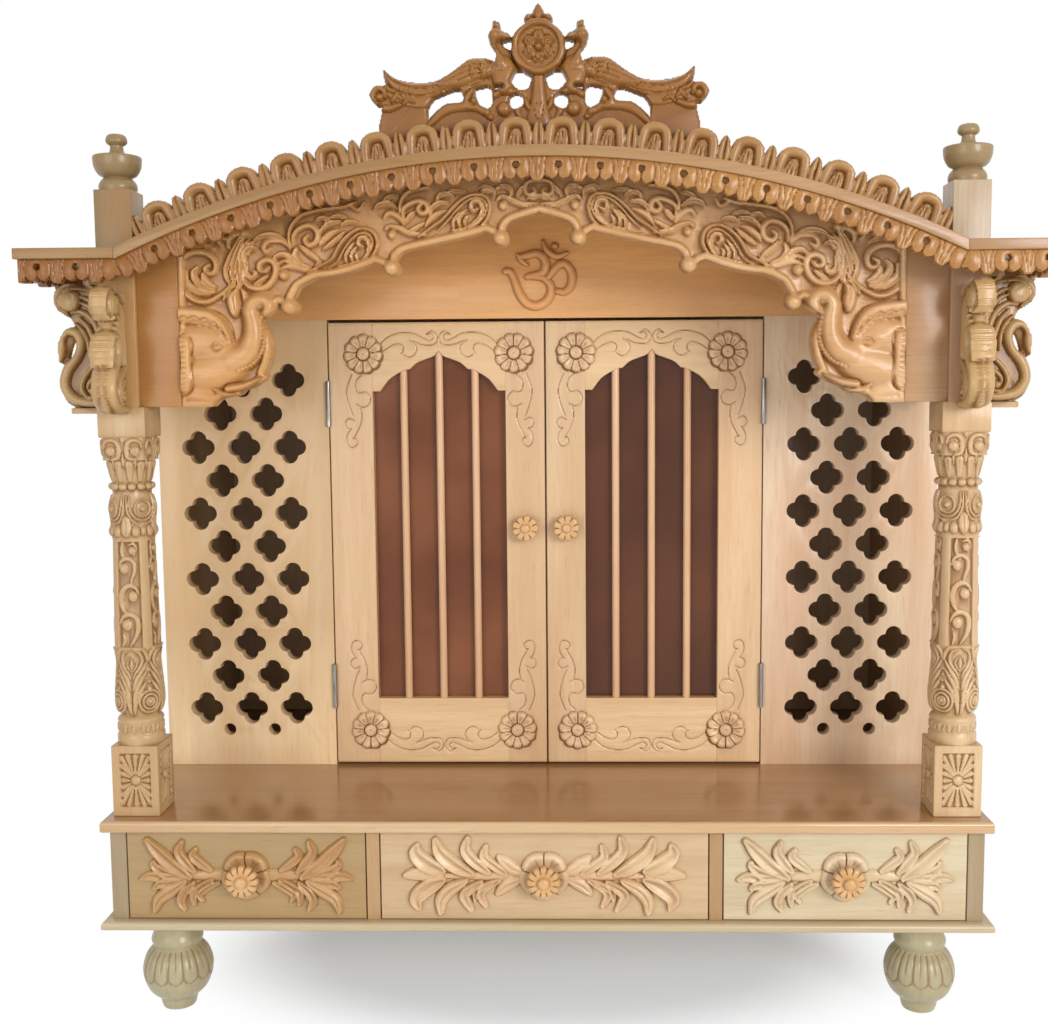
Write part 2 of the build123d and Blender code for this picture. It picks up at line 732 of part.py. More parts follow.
parts["jali_right"] = jali_panel()
parts["lintel_board"] = under_roof_board(cabinet_half, cabinet_front, panel_thickness, lintel_bottom)
parts["om_carving"] = om_carving()
side_back = roof_back - cabinet_back_thickness
parts["cabinet_side_right"] = block(cabinet_half - panel_thickness, cabinet_half,
                                    cabinet_front + panel_thickness, side_back, shelf_top, eave_bottom)
parts["cabinet_back"] = under_roof_board(cabinet_half, side_back, cabinet_back_thickness, shelf_top)

frame, glass, bars, knob = door_right()
parts["door_right_frame"] = frame
parts["door_right_glass"] = glass
parts["door_right_bars"] = bars
parts["door_right_knob"] = knob
parts["hinges_right"] = hinges_right()

parts["arch_apron"] = arch_apron()
parts["apron_end_right"] = apron_end()
parts["side_beam_right"] = block(column_x - panel_thickness / 2, column_x + panel_thickness / 2,
                                 post_y + upper_post_size / 2, cabinet_front, column_top, eave_bottom)
parts["roof_arch"] = roof_arch()
parts["roof_wing_right"] = roof_wing()
parts["valance_front"] = valance_front()
parts["valance_side_right"] = valance_side()
parts["leaf_crest"] = leaf_crest()
parts["peacock_pediment"] = peacock_pediment()

# pieces that come in pairs are mirrored; small fixed ones share a node with their twin
shared_nodes = {
    "foot_front": "feet_front",
    "foot_back": "feet_back",
    "base_divider": "base_dividers",
    "apron_end": "apron_ends",
    "side_beam": "side_beams",
    "valance_side": "valance_sides",
    "bracket_side": "brackets_side",
    "bracket_front": "brackets_front",
    "finial": "finials",
    "hinges": "door_hinges",
}
for name in [name for name in parts if "right" in name and not name.startswith("drawer")]:
    stem = name.replace("_right", "")
    if stem in shared_nodes:
        solid = parts.pop(name)
        parts[shared_nodes[stem]] = Compound(solid.solids() + mirrored(solid).solids())
    else:
        parts[name.replace("right", "left")] = mirrored(parts[name])

os.makedirs("parts", exist_ok=True)
for name, solid in parts.items():
    export_step(solid, f"parts/{name}.step")
print(len(parts), "nodes")
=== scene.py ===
import math

import bmesh
import bpy
import numpy as np
from mathutils import Euler, Matrix, Vector


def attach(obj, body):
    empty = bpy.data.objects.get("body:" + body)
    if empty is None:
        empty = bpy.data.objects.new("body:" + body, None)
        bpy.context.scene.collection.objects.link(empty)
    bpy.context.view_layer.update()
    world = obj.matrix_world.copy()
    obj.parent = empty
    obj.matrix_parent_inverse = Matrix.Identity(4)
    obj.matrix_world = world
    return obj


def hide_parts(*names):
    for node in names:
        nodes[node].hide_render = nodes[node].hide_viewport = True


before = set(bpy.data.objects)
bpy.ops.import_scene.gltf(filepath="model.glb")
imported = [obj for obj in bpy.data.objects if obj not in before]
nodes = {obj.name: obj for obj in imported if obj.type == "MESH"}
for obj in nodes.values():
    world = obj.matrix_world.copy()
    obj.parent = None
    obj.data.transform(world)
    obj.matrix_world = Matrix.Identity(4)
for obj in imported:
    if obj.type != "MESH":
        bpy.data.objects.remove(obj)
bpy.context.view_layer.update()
mm = 0.001
sides = {"left": -1, "right": 1}
print("frame loaded")

view = {
    "place": (0.0448, -1.7476, 0.8019),  # metres
    "turn": (-5.49, 0.42, 1.39),  # degrees of pitch, roll and pan
    "lens": 42.55,
    "shift": -0.0229,
}

studio = {
    "floorColour": (0.87, 0.93, 0.99),
    "floorSize": 9.0,
    "floorShape": (2.0, 3.2, 1),  # how fast the floor runs to white, sideways and in depth
    "floorFade": (0.62, 1.12),
    "floorLift": 0.22,  # share of pure white near the feet
    "worldColour": (1.0, 0.985, 0.96),
    "worldStrength": 0.60,
    "lightAim": (0, -0.1, 0.6),
    "lights": {  # place, size and power
        "key": ((1.9, -2.9, 1.35), 1.4, 66.0),
        "fill": ((-1.6, -2.8, 0.9), 1.8, 24.0),
        "top": ((0.2, 0.3, 3.0), 2.0, 9.0),
    },
}


def newObject(name, data):
    item = bpy.data.objects.new(name, data)
    bpy.context.scene.collection.objects.link(item)
    return item


def setCamera():
    data = bpy.data.cameras.new("camera")
    camera = newObject("camera", data)
    pitch, roll, pan = (math.radians(a) for a in view["turn"])
    turn = Matrix.Rotation(pan, 4, "Z") @ Matrix.Rotation(pitch, 4, "X") @ Matrix.Rotation(roll, 4, "Y")
    upright = Euler((math.pi / 2, 0, 0)).to_matrix().to_4x4()
    camera.matrix_world = Matrix.Translation(view["place"]) @ turn @ upright
    data.lens = view["lens"]
    data.sensor_width = 36
    data.shift_x = view["shift"]
    data.clip_end = 50
    bpy.context.scene.camera = camera


def areaLight(name, place, size, power):
    data = bpy.data.lights.new(name, "AREA")
    data.shape = "DISK"
    data.size = size
    data.energy = power
    lamp = newObject(name, data)
    lamp.location = place
    lamp.rotation_euler = (Vector(studio["lightAim"]) - Vector(place)).to_track_quat("-Z", "Y").to_euler()


def setInputs(node, values):
    # an output is linked; anything else becomes the input's own value
    for key, value in values.items():
        socket = node.inputs[key]
        if isinstance(value, bpy.types.NodeSocket):
            node.id_data.links.new(value, socket)
        else:
            socket.default_value = (*value, 1) if socket.type == "RGBA" else value


def addNode(tree, kind, inputs, **settings):
    node = tree.nodes.new("ShaderNode" + kind)
    for key, value in settings.items():
        setattr(node, key, value)
    setInputs(node, inputs)
    return node.outputs


def mathNode(tree, kind, *values, clamp=False):
    return addNode(tree, "Math", dict(enumerate(values)), operation=kind, use_clamp=clamp)[0]


def mixColour(tree, factor, first, second):
    return addNode(tree, "Mix", {0: factor, 6: first, 7: second}, data_type="RGBA")[2]


def rampNode(tree, factor, stops):
    node = tree.nodes.new("ShaderNodeValToRGB")
    elements = node.color_ramp.elements
    while len(elements) < len(stops):
        elements.new(0.5)
    for element, (position, colour) in zip(elements, stops):
        element.position = position
        element.color = (*colour, 1)
    tree.links.new(factor, node.inputs[0])
    return node.outputs[0]


def objectPlace(tree):
    return addNode(tree, "TexCoord", {})["Object"]


def rayMask(tree):
    # 1 for what the camera sees, straight, in a reflection or through glass
    rays = addNode(tree, "LightPath", {})
    seen = rays["Is Camera Ray"]
    for other in ("Is Glossy Ray", "Is Transmission Ray"):
        seen = mathNode(tree, "MAXIMUM", seen, rays[other])
    return seen


def newMaterial(name):
    material = bpy.data.materials.new(name)
    material.use_nodes = True
    return material, material.node_tree, material.node_tree.nodes["Principled BSDF"]


def setStudio():
    scene = bpy.context.scene
    scene.view_settings.view_transform = "Standard"
    scene.world = bpy.data.worlds.new("studio")
    scene.world.use_nodes = True
    tree = scene.world.node_tree
    tree.nodes.clear()
    soft = addNode(tree, "Background", {"Color": studio["worldColour"], "Strength": studio["worldStrength"]})
    white = addNode(tree, "Background", {"Color": (1, 1, 1), "Strength": 1.0})
    shown = addNode(tree, "MixShader", {0: rayMask(tree), 1: soft[0], 2: white[0]})
    addNode(tree, "OutputWorld", {"Surface": shown[0]})
    for name, (place, size, power) in studio["lights"].items():
        areaLight(f"{name} light", place, size, power)


def layFloor():
    # a white sheet that keeps the shadow near the feet and runs to pure white further out
    size = studio["floorSize"]
    mesh = bpy.data.meshes.new("floor")
    mesh.from_pydata([(-size, -size, 0), (size, -size, 0), (size, size, 0), (-size, size, 0)], [],
                     [(0, 1, 2, 3)])
    material, tree, surface = newMaterial("floor paper")
    setInputs(surface, {"Base Color": studio["floorColour"], "Roughness": 0.9, "Specular IOR Level": 0.0})
    glow = addNode(tree, "Emission", {"Strength": 1.0})
    shape = addNode(tree, "Mapping", {"Vector": objectPlace(tree), "Scale": studio["floorShape"]})
    distance = addNode(tree, "VectorMath", {0: shape[0]}, operation="LENGTH")
    near, far = studio["floorFade"]
    fade = addNode(tree, "MapRange", {"Value": distance["Value"], "From Min": near, "From Max": far,
                                      "To Min": studio["floorLift"], "To Max": 1.0},
                   interpolation_type="SMOOTHSTEP")
    shown = mathNode(tree, "MULTIPLY", fade[0], rayMask(tree))
    paper = addNode(tree, "MixShader", {0: shown, 1: surface.outputs[0], 2: glow[0]})
    setInputs(tree.nodes["Material Output"], {"Surface": paper[0]})
    mesh.materials.append(material)
    newObject("floor", mesh)


setCamera()
setStudio()
layFloor()
print("camera, lights and floor set")


def hexColour(code):
    # "#rrggbb" as a linear colour
    parts = [int(code[i:i + 2], 16) / 255 for i in (1, 3, 5)]
    return tuple(((c + 0.055) / 1.055) ** 2.4 if c > 0.04045 else c / 12.92 for c in parts)


def tinted(colour, *shares):
    return Vector([min(1, part * share) for part, share in zip(colour, shares)])


teak = {
    "fibreLength": 0.07,  # how far the fibres are drawn out along the grain
    "ringCount": 52.0,
    "ringStrength": 0.36,
    "streakStrength": 0.22,
    "fibreStrength": 0.30,
    "poreStrength": 0.20,
    "heartStrength": 0.34,  # of the broad reddish streaks
    # tone and strength of the painted shade in carved hollows
    "hollowShadeColour": "#7d4f24",
    "hollowShadeStrength": 0.9,
    "roughness": 0.33,
    "coat": 0.20,
    "coatRoughness": 0.16,
    "specular": 0.34,
    "grainDepth": 0.0006,  # metres
    "grainStrength": 0.16,
    "patterns": {  # scale, detail, roughness and distortion
        "wander": (3.2, 2, 0.5, 0.6),
        "cloud": (5.0, 3, 0.6, 0.0),
        "heart": (13.0, 2, 0.4, 0.0),
        "streaks": (46.0, 3, 0.6, 0.0),
        "fibres": (190.0, 4, 0.7, 0.0),
        "pores": (420.0, 2, 0.5, 0.0),
    },
}


def makeTeak(name, colour, grain, seed, far=None, warm=None, gloss=0.0, top=None):
    # honey teak under satin lacquer; colour is its middle tone;
    # far is an axis, the tone at its far end, and where the change starts and ends in metres;
    # warm is the tone of its darker rings; top is painted shade, a darker tone on faces that look up
    material, tree, surface = newMaterial(name)
    base = Vector(hexColour(colour))
    dark = Vector(hexColour(warm)) if warm else tinted(base, 0.72, 0.60, 0.48)
    pale = tinted(base, 1.12, 1.14, 1.18)
    place = objectPlace(tree)
    scale = [1.0, 1.0, 1.0]
    scale["xyz".index(grain)] = teak["fibreLength"]
    stretch = addNode(tree, "Mapping", {"Vector": place, "Scale": scale,
                                        "Location": (seed * 1.7, seed * 0.9, seed * 1.3)})

    def pattern(kind):
        size, detail, rough, distortion = teak["patterns"][kind]
        return addNode(tree, "TexNoise", {"Vector": stretch[0], "Scale": size, "Detail": detail,
                                          "Roughness": rough, "Distortion": distortion})["Fac"]

    def laid(tone, noise, clear, full, strength, over):
        # the tone with another over it, from none where the noise is at clear to most at full
        stops = sorted([(clear, (0, 0, 0)), (full, (1, 1, 1))])
        mask = mathNode(tree, "MULTIPLY", rampNode(tree, noise, stops), strength)
        return mixColour(tree, mask, tone, over)

    # growth rings: wandering bands that follow the length of the board
    wave = mathNode(tree, "SINE", mathNode(tree, "MULTIPLY", pattern("wander"), teak["ringCount"]))
    rings = mathNode(tree, "POWER", mathNode(tree, "MULTIPLY_ADD", wave, 0.5, 0.5), 1.8, clamp=True)
    fibres = pattern("fibres")

    tone = rampNode(tree, pattern("cloud"), [(0.30, base * 0.86), (0.55, base), (0.72, pale)])
    if far:
        farAxis, farColour, start, end = far
        along = addNode(tree, "SeparateXYZ", {0: place})["xyz".index(farAxis)]
        reach = addNode(tree, "MapRange", {"Value": along, "From Min": start, "From Max": end})
        tone = mixColour(tree, reach[0], tone, hexColour(farColour))
    # painted shade: faces that look up turn to the darker top tone
    if top:
        up = addNode(tree, "SeparateXYZ", {0: addNode(tree, "NewGeometry", {})["Normal"]})["Z"]
        tone = mixColour(tree, mathNode(tree, "POWER", up, 8.0, clamp=True), tone, hexColour(top))
    tone = laid(tone, pattern("heart"), 0.52, 0.70, teak["heartStrength"], tinted(base, 0.86, 0.62, 0.50))
    tone = mixColour(tree, mathNode(tree, "MULTIPLY", rings, teak["ringStrength"]), tone, dark)
    tone = laid(tone, pattern("streaks"), 0.62, 0.40, teak["streakStrength"], dark)
    tone = laid(tone, fibres, 0.60, 0.34, teak["fibreStrength"], dark)
    tone = laid(tone, pattern("pores"), 0.37, 0.30, teak["poreStrength"], dark * 0.55)

    # painted shade in the carved hollows: they turn brown by their depth, for the shade that falls there and
    # partly for lacquer settled in them
    cut = addNode(tree, "Attribute", {}, attribute_name="hollow")["Fac"]
    hollowShade = mathNode(tree, "MULTIPLY", cut, teak["hollowShadeStrength"], clamp=True)
    tone = mixColour(tree, hollowShade, tone, hexColour(teak["hollowShadeColour"]))
    sheen = [(0.3, (teak["roughness"] - gloss + 0.10,) * 3), (0.7, (teak["roughness"] - gloss - 0.04,) * 3)]
    relief = addNode(tree, "Bump", {"Strength": teak["grainStrength"], "Distance": teak["grainDepth"],
                                    "Height": fibres})
    setInputs(surface, {"Base Color": tone, "Roughness": rampNode(tree, fibres, sheen), "Normal": relief[0],
                        "Coat Weight": teak["coat"] + gloss, "Coat Roughness": teak["coatRoughness"],
                        "Specular IOR Level": teak["specular"]})
    return material


def unit(values):
    return np.clip(values, 0, 1)


def dome(q):
    # from 1 in the middle to 0 at its edge
    return np.sqrt(np.maximum(0, 1 - q * q))


def bell(q):
    return np.exp(-q ** 2)


# the carver's sheet: a flat grid of heights in millimetres, carved first and then laid on its piece


def newSheet(xLow, xHigh, zLow, zHigh, step):
    x = np.linspace(xLow, xHigh, int(round((xHigh - xLow) / step)) + 1)
    z = np.linspace(zLow, zHigh, int(round((zHigh - zLow) / step)) + 1)
    shape = (len(z), len(x))
    return {"x": x, "z": z, "step": step, "height": np.zeros(shape), "inside": np.full(shape, 60.0)}


def windowOf(sheet, xLow, xHigh, zLow, zHigh):
    x, z = sheet["x"], sheet["z"]
    cols = slice(int(np.searchsorted(x, xLow)), int(np.searchsorted(x, xHigh, "right")))
    rows = slice(int(np.searchsorted(z, zLow)), int(np.searchsorted(z, zHigh, "right")))
    return rows, cols


def smoothPath(points, spacing=1.4):
    # a smooth line through the points, whatever else each point carries
    p = np.array(points, float)
    p = np.vstack([2 * p[0] - p[1], p, 2 * p[-1] - p[-2]])
    out = []
    for a, b, c, d in zip(p[:-3], p[1:-2], p[2:-1], p[3:]):
        count = max(2, int(math.hypot(*(c - b)[:2]) / spacing) + 1)
        t = np.linspace(0, 1, count, endpoint=False)[:, None]
        curve = 2 * b + (c - a) * t + (2 * a - 5 * b + 4 * c - d) * t**2 + (3 * b - a - 3 * c + d) * t**3
        out.append(0.5 * curve)
    return np.vstack(out + [p[-2][None]])


def chained(runs):
    # each run after the first starts where the one before it ends
    return [runs[0]] + [last[-1:] + run for last, run in zip(runs, runs[1:])]


def outlineOf(runs, spacing=1.4):
    # runs of points joined at corners: two points make a straight edge, more a smooth one
    pieces = [np.array(run, float) if len(run) == 2 else smoothPath(run, spacing) for run in runs]
    return np.vstack([piece[:-1] for piece in pieces])


def circleOf(x, z, radius, count):
    turn = np.linspace(0, 2 * math.pi, count, endpoint=False)
    return np.column_stack([x + radius * np.cos(turn), z + radius * np.sin(turn)])


def cutOutline(sheet, outlines, reach=14.0):
    # how far each point is inside the outlines; a hole is one more outline
    x, z = sheet["x"], sheet["z"]
    near = np.full(sheet["height"].shape, reach)
    flips = np.zeros((len(z), len(x) + 1), int)
    for outline in outlines:
        for a, b in zip(outline, np.roll(outline, -1, axis=0)):
            rows, cols = windowOf(sheet, min(a[0], b[0]) - reach, max(a[0], b[0]) + reach,
                                  min(a[1], b[1]) - reach, max(a[1], b[1]) + reach)
            run = b - a
            px, pz = x[cols][None, :] - a[0], z[rows][:, None] - a[1]
            t = unit((px * run[0] + pz * run[1]) / max(run @ run, 1e-9))
            near[rows, cols] = np.minimum(near[rows, cols], np.hypot(px - t * run[0], pz - t * run[1]))
            if a[1] != b[1]:
                low, high = sorted((a[1], b[1]))
                crossed = np.nonzero((z >= low) & (z < high))[0]
                at = a[0] + (z[crossed] - a[1]) / run[1] * run[0]
                np.add.at(flips, (crossed, np.searchsorted(x, at)), 1)
    within = np.cumsum(flips, axis=1)[:, :-1] % 2 == 1
    sheet["inside"] = np.where(within, near, -near)


def tapered(points, width, height):
    # points of a stroke with its half width and height; three numbers are its start, middle and end
    path = smoothPath(points) if len(points) > 2 else np.linspace(points[0], points[-1], 12)
    length = np.concatenate([[0], np.cumsum(np.hypot(*np.diff(path[:, :2], axis=0).T))])
    t = length / max(length[-1], 1e-6)

    def along(value):
        if isinstance(value, (int, float)):
            return np.full(len(t), float(value))
        if len(value) == 2:
            return value[0] + (value[1] - value[0]) * t
        start, middle, end = value
        return start * (1 - t) * (1 - 2 * t) + middle * 4 * t * (1 - t) + end * t * (2 * t - 1)

    return np.column_stack([path[:, :2], np.maximum(along(width), 0.3), along(height)])


def strokeField(sheet, line, spread=1.0):
    # for the points near a stroke: distance from its middle as a share of its half width, and its own sizes
    reach = line[:, 2].max() * spread + 1
    rows, cols = windowOf(sheet, line[:, 0].min() - reach, line[:, 0].max() + reach,
                          line[:, 1].min() - reach, line[:, 1].max() + reach)
    x, z = sheet["x"][cols], sheet["z"][rows]
    share = np.full((len(z), len(x)), 99.0)
    wide, tall, side = np.ones_like(share), np.zeros_like(share), np.zeros_like(share)
    for a, b in zip(line[:-1], line[1:]):
        r = max(a[2], b[2]) * spread + 1
        c = slice(*np.searchsorted(x, (min(a[0], b[0]) - r, max(a[0], b[0]) + r)))
        d = slice(*np.searchsorted(z, (min(a[1], b[1]) - r, max(a[1], b[1]) + r)))
        px, pz = x[c][None, :] - a[0], z[d][:, None] - a[1]
        run = b[:2] - a[:2]
        t = unit((px * run[0] + pz * run[1]) / max(run @ run, 1e-9))
        w = a[2] + (b[2] - a[2]) * t
        q = np.hypot(px - t * run[0], pz - t * run[1]) / w
        better = q < share[d, c]
        share[d, c] = np.where(better, q, share[d, c])
        wide[d, c] = np.where(better, w, wide[d, c])
        tall[d, c] = np.where(better, a[3] + (b[3] - a[3]) * t, tall[d, c])
        side[d, c] = np.where(better, np.sign(run[0] * pz - run[1] * px), side[d, c])
    return rows, cols, share, wide, tall, side


def toolMark(kind, share, side):
    # cross section of a stroke, from 0 at its edge to 1
    q = unit(share)
    if kind == "scoop":  # hollow leaf with rolled edges
        return (0.48 + 0.52 * unit(q / 0.68) ** 1.6) * dome(unit((q - 0.68) / 0.32))
    if kind == "vein":  # rounded leaf with a cut down its middle
        return dome(q) - 0.34 * bell(q / 0.16)
    if kind == "blade":  # leaf that leans: high along one edge, hollow towards the other
        return dome(q) * (0.42 + 0.58 * unit(0.5 + 0.5 * (side * q)) ** 1.3)
    if kind == "flat":
        return unit((1 - q) / 0.3) ** 0.5
    return dome(q)


def carve(sheet, points, width, height, kind="round", moat=0.0, moatDepth=2.0):
    # raises one tapering stroke; a moat is a cut round it that sets it off from what it crosses
    line = tapered(points, width, height)
    spread = 1 + (moat / max(line[:, 2].min(), 1.0) if moat else 0)
    rows, cols, share, wide, tall, side = strokeField(sheet, line, spread)
    block = sheet["height"][rows, cols]
    mark = tall * toolMark(kind, share, side)
    if moat:
        gap = (share - 1) * wide
        depth = moatDepth * unit(1 - gap / moat)
        block = np.where(gap >= 0, np.maximum(block - depth, np.minimum(block, 0)), block)
    sheet["height"][rows, cols] = np.where(share < 1, np.maximum(block, mark), block)


def carveAll(sheet, strokes, moat, moatDepth):
    # each stroke is its profile, half widths, height and the x and z of its points in turn
    for kind, width, height, *spots in strokes:
        carve(sheet, np.reshape(spots, (-1, 2)), width, height, kind, moat, moatDepth)


def incise(sheet, points, width, depth):
    # a cut with a parting tool
    rows, cols, share, _, tall, _ = strokeField(sheet, tapered(points, width, depth))
    sheet["height"][rows, cols] -= np.where(share < 1, tall * unit(1 - share), 0)


def ball(sheet, x, z, radius, height, moat=1.5):
    carve(sheet, [(x - 0.02, z), (x + 0.02, z)], radius, height, "round", moat)


def swirl(x, z, start, end, first, turns):
    # points of a spiral from radius start to radius end, beginning at the angle first, in degrees
    t = np.linspace(0, 1, max(4, int(abs(turns) * 9)))
    angle = math.radians(first) + 2 * math.pi * turns * t
    radius = start + (end - start) * t
    return [(x + r * math.cos(a), z + r * math.sin(a)) for r, a in zip(radius, angle)]


def rosette(sheet, x, z, radius, petals, height, eye, turn=0.0, cleft=0.5):
    # open flower: spoon petals with cuts between them round a button
    rows, cols = windowOf(sheet, x - radius - 2, x + radius + 2, z - radius - 2, z + radius + 2)
    dx, dz = sheet["x"][cols][None, :] - x, sheet["z"][rows][:, None] - z
    r, angle = np.hypot(dx, dz), np.arctan2(dz, dx) + math.radians(turn)
    middle = np.abs(np.cos(petals * angle / 2))
    rim = radius * (0.90 + 0.10 * middle**0.7)
    out = unit(r / rim)
    petal = dome(unit((out - 0.78) / 0.22)) * (0.62 + 0.38 * unit(out / 0.78) ** 2)
    gap = bell(middle * r * math.pi / petals / 0.95)
    spoon = 0.16 * bell((middle - 1) / 0.18) * unit((0.8 - out) / 0.2)
    value = height * (petal - cleft * gap * unit(out * 2.2) - spoon)
    button = r < eye
    value = np.where(button, height * (0.72 + 0.34 * dome(r / eye)), value)
    value = value - height * 0.5 * bell((r - eye * 1.08) / 0.9)
    value = value - height * 0.3 * bell(r / 1.3)
    block = sheet["height"][rows, cols]
    moat = unit(1 - (r - rim) / 1.6) * 1.1
    block = np.where(r > rim, block - np.where(r < rim + 1.6, moat, 0), np.maximum(value, 0.25))
    sheet["height"][rows, cols] = block


def rollDown(sheet, distance, radius):
    # rounds the surface off towards where the distance is nothing
    d = np.clip(distance, 0, radius)
    sheet["height"] -= radius - np.sqrt(np.maximum(0, radius**2 - (radius - d) ** 2))


def roundEdge(sheet, radius):
    rollDown(sheet, sheet["inside"], radius)


def softEnds(sheet, radius):
    z = sheet["z"]
    rollDown(sheet, np.minimum(z - z[0], z[-1] - z)[:, None], radius)


def onlyStrokes(sheet, least):
    # the sheet ends where the carving does
    sheet["inside"] = np.minimum(sheet["inside"], (sheet["height"] - least) * 1.2)


def blurred(values, cells):
    for axis in (0, 1):
        for _ in range(2):
            padded = np.concatenate([np.repeat(np.take(values, [0], axis), cells, axis), values,
                                     np.repeat(np.take(values, [-1], axis), cells + 1, axis)], axis)
            total = np.cumsum(padded, axis)
            size = values.shape[axis]
            high = np.take(total, range(2 * cells, 2 * cells + size), axis)
            low = np.take(total, range(0, size), axis)
            values = (high - low) / (2 * cells)
    return values


def smoothed(sheet):
    sheet["height"] = (sheet["height"] + blurred(sheet["height"], 1)) / 2


def hollowOf(sheet, reach=3.2, strength=0.42):
    # how deep each point lies below what surrounds it, which the teak paints in as shade
    height = sheet["height"]
    near = blurred(height, max(1, int(reach / sheet["step"])))
    far = blurred(height, max(1, int(reach * 2.6 / sheet["step"])))
    deep = (near - height) * 0.95 + (far - height) * 0.15
    return unit(deep * strength)


def mirrored(values):
    # doubles a grid whose last column is its middle line
    return np.concatenate([values, values[:, ::-1][:, 1:]], axis=1)


def mirrorSheet(sheet):
    x = sheet["x"]
    return dict(sheet, x=np.concatenate([x, (2 * x[-1] - x)[::-1][1:]]), height=mirrored(sheet["height"]),
                inside=mirrored(sheet["inside"]))


def movedSheet(sheet, x, z):
    return dict(sheet, x=sheet["x"] + x, z=sheet["z"] + z)


def sheetSurface(sheet, hollow):
    # points and faces of the part of the sheet inside its outline, cut cleanly along it
    x, z, inside = sheet["x"], sheet["z"], sheet["inside"]
    rowCount, colCount = inside.shape
    kept = inside > 0
    gx, gz = np.meshgrid(x, z)
    fields = np.dstack([gx, gz, sheet["height"], hollow])
    corner = np.full(kept.shape, -1)
    corner[kept] = np.arange(kept.sum())
    points = [fields[kept]]
    count = int(kept.sum())

    def crossings(first, second, fieldA, fieldB, shape):
        nonlocal count
        number = np.full(shape, -1)
        cut = (first > 0) != (second > 0)
        a, b = first[cut], second[cut]
        t = np.clip(a / (a - b), 0.12, 0.88)[:, None]
        points.append(fieldA[cut] * (1 - t) + fieldB[cut] * t)
        number[cut] = count + np.arange(cut.sum())
        count += int(cut.sum())
        return number

    across = crossings(inside[:, :-1], inside[:, 1:], fields[:, :-1], fields[:, 1:], (rowCount, colCount - 1))
    upward = crossings(inside[:-1], inside[1:], fields[:-1], fields[1:], (rowCount - 1, colCount))
    corners = [corner[:-1, :-1], corner[:-1, 1:], corner[1:, 1:], corner[1:, :-1]]
    cuts = [across[:-1], upward[:, 1:], across[1:], upward[:, :-1]]
    code = sum((c >= 0) * (1 << i) for i, c in enumerate(corners))
    faces = []
    for case in range(1, 16):
        here = code == case
        if not here.any():
            continue
        ring = []
        for i in range(4):
            has, following = bool(case >> i & 1), bool(case >> (i + 1) % 4 & 1)
            if has:
                ring.append(corners[i][here])
            if has != following:
                ring.append(cuts[i][here])
        faces.append(np.column_stack(ring))
    return np.vstack(points), faces


def openEdges(faces, count):
    starts = np.concatenate([f.ravel() for f in faces])
    ends = np.concatenate([np.roll(f, -1, axis=1).ravel() for f in faces])
    forward, backward = starts * count + ends, ends * count + starts
    free = ~np.isin(forward, backward)
    return starts[free], ends[free]


def fillMesh(name, points, faces, hollow):
    mesh = bpy.data.meshes.new(name)
    sizes = np.concatenate([np.full(len(f), f.shape[1]) for f in faces])
    loops = np.concatenate([f.ravel() for f in faces])
    mesh.vertices.add(len(points))
    mesh.vertices.foreach_set("co", (points * mm).astype(np.float32).ravel())
    mesh.loops.add(len(loops))
    mesh.loops.foreach_set("vertex_index", loops.astype(np.int32))
    mesh.polygons.add(len(sizes))
    mesh.polygons.foreach_set("loop_start", np.concatenate([[0], np.cumsum(sizes)[:-1]]).astype(np.int32))
    mesh.update(calc_edges=True)
    mesh.validate()
    attribute = mesh.attributes.new("hollow", "FLOAT", "POINT")
    attribute.data.foreach_set("value", hollow.astype(np.float32))
    return mesh


def editMesh(mesh, edit):
    work = bmesh.new()
    work.from_mesh(mesh)
    edit(work)
    work.to_mesh(mesh)
    work.free()


def looseEdges(work):
    return [edge for edge in work.edges if len(edge.link_faces) == 1]


def finishPiece(name, mesh, material, body="root", keep=1.0, sharp=38, node=None, slot="carved_teak"):
    # thins the flat parts of the mesh, smooths it and hangs it on its body, in the place of its node
    piece = newObject(name, mesh)
    if keep < 1:
        thin = piece.modifiers.new("thin", "DECIMATE")
        thin.ratio = keep
        bpy.context.view_layer.update()
        shown = piece.evaluated_get(bpy.context.evaluated_depsgraph_get())
        thinned = bpy.data.meshes.new_from_object(shown)
        piece.modifiers.clear()
        piece.data = thinned
        bpy.data.meshes.remove(mesh)
        thinned.name = name
    piece.data.shade_smooth()
    piece.data.set_sharp_from_angle(angle=math.radians(sharp))
    for one in material if isinstance(material, list) else [material]:
        piece.data.materials.append(one)
    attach(piece, body)
    if node:
        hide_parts(node)
    return piece


def wrapSheet(sheet, place, reach=3.2, strength=0.42):
    # place(x, z, height) gives millimetres in the model's frame
    points, faces = sheetSurface(sheet, hollowOf(sheet, reach, strength))
    return place(points[:, 0], points[:, 1], points[:, 2]), faces, points[:, 3]


def sheetMesh(name, sheet, place, back, shade):
    # the sheet laid in place and closed at its back, a height below it
    flat, faces = sheetSurface(sheet, shade)
    front = place(flat[:, 0], flat[:, 1], flat[:, 2])
    starts, ends = openEdges(faces, len(front))
    rim = np.unique(np.concatenate([starts, ends]))
    number = np.full(len(front), -1)
    number[rim] = len(front) + np.arange(len(rim))
    behind = place(flat[rim, 0], flat[rim, 1], np.full(len(rim), float(back)))
    walls = np.column_stack([ends, starts, number[starts], number[ends]])
    shades = np.concatenate([flat[:, 3], np.zeros(len(rim))])
    mesh = fillMesh(name, np.vstack([front, behind]), faces + [walls], shades)

    def close(work):
        bmesh.ops.triangle_fill(work, use_beauty=True, use_dissolve=False, edges=looseEdges(work))
        bmesh.ops.recalc_face_normals(work, faces=work.faces)

    editMesh(mesh, close)
    return mesh


def sheetPiece(name, sheet, place, back, shade, material, body="root", **finish):
    return finishPiece(name, sheetMesh(name, sheet, place, back, shade), material, body, **finish)


pane = {
    "tones": {"left": ("#6a3a20", "#8a5434"), "right": ("#4c2917", "#673c25")},
    "smearSize": 5.0,
    "roughness": (0.10, 0.20),
    "alpha": 0.86,
    "specular": 0.25,
    "coat": 0.15,
    "coatRoughness": 0.06,
}


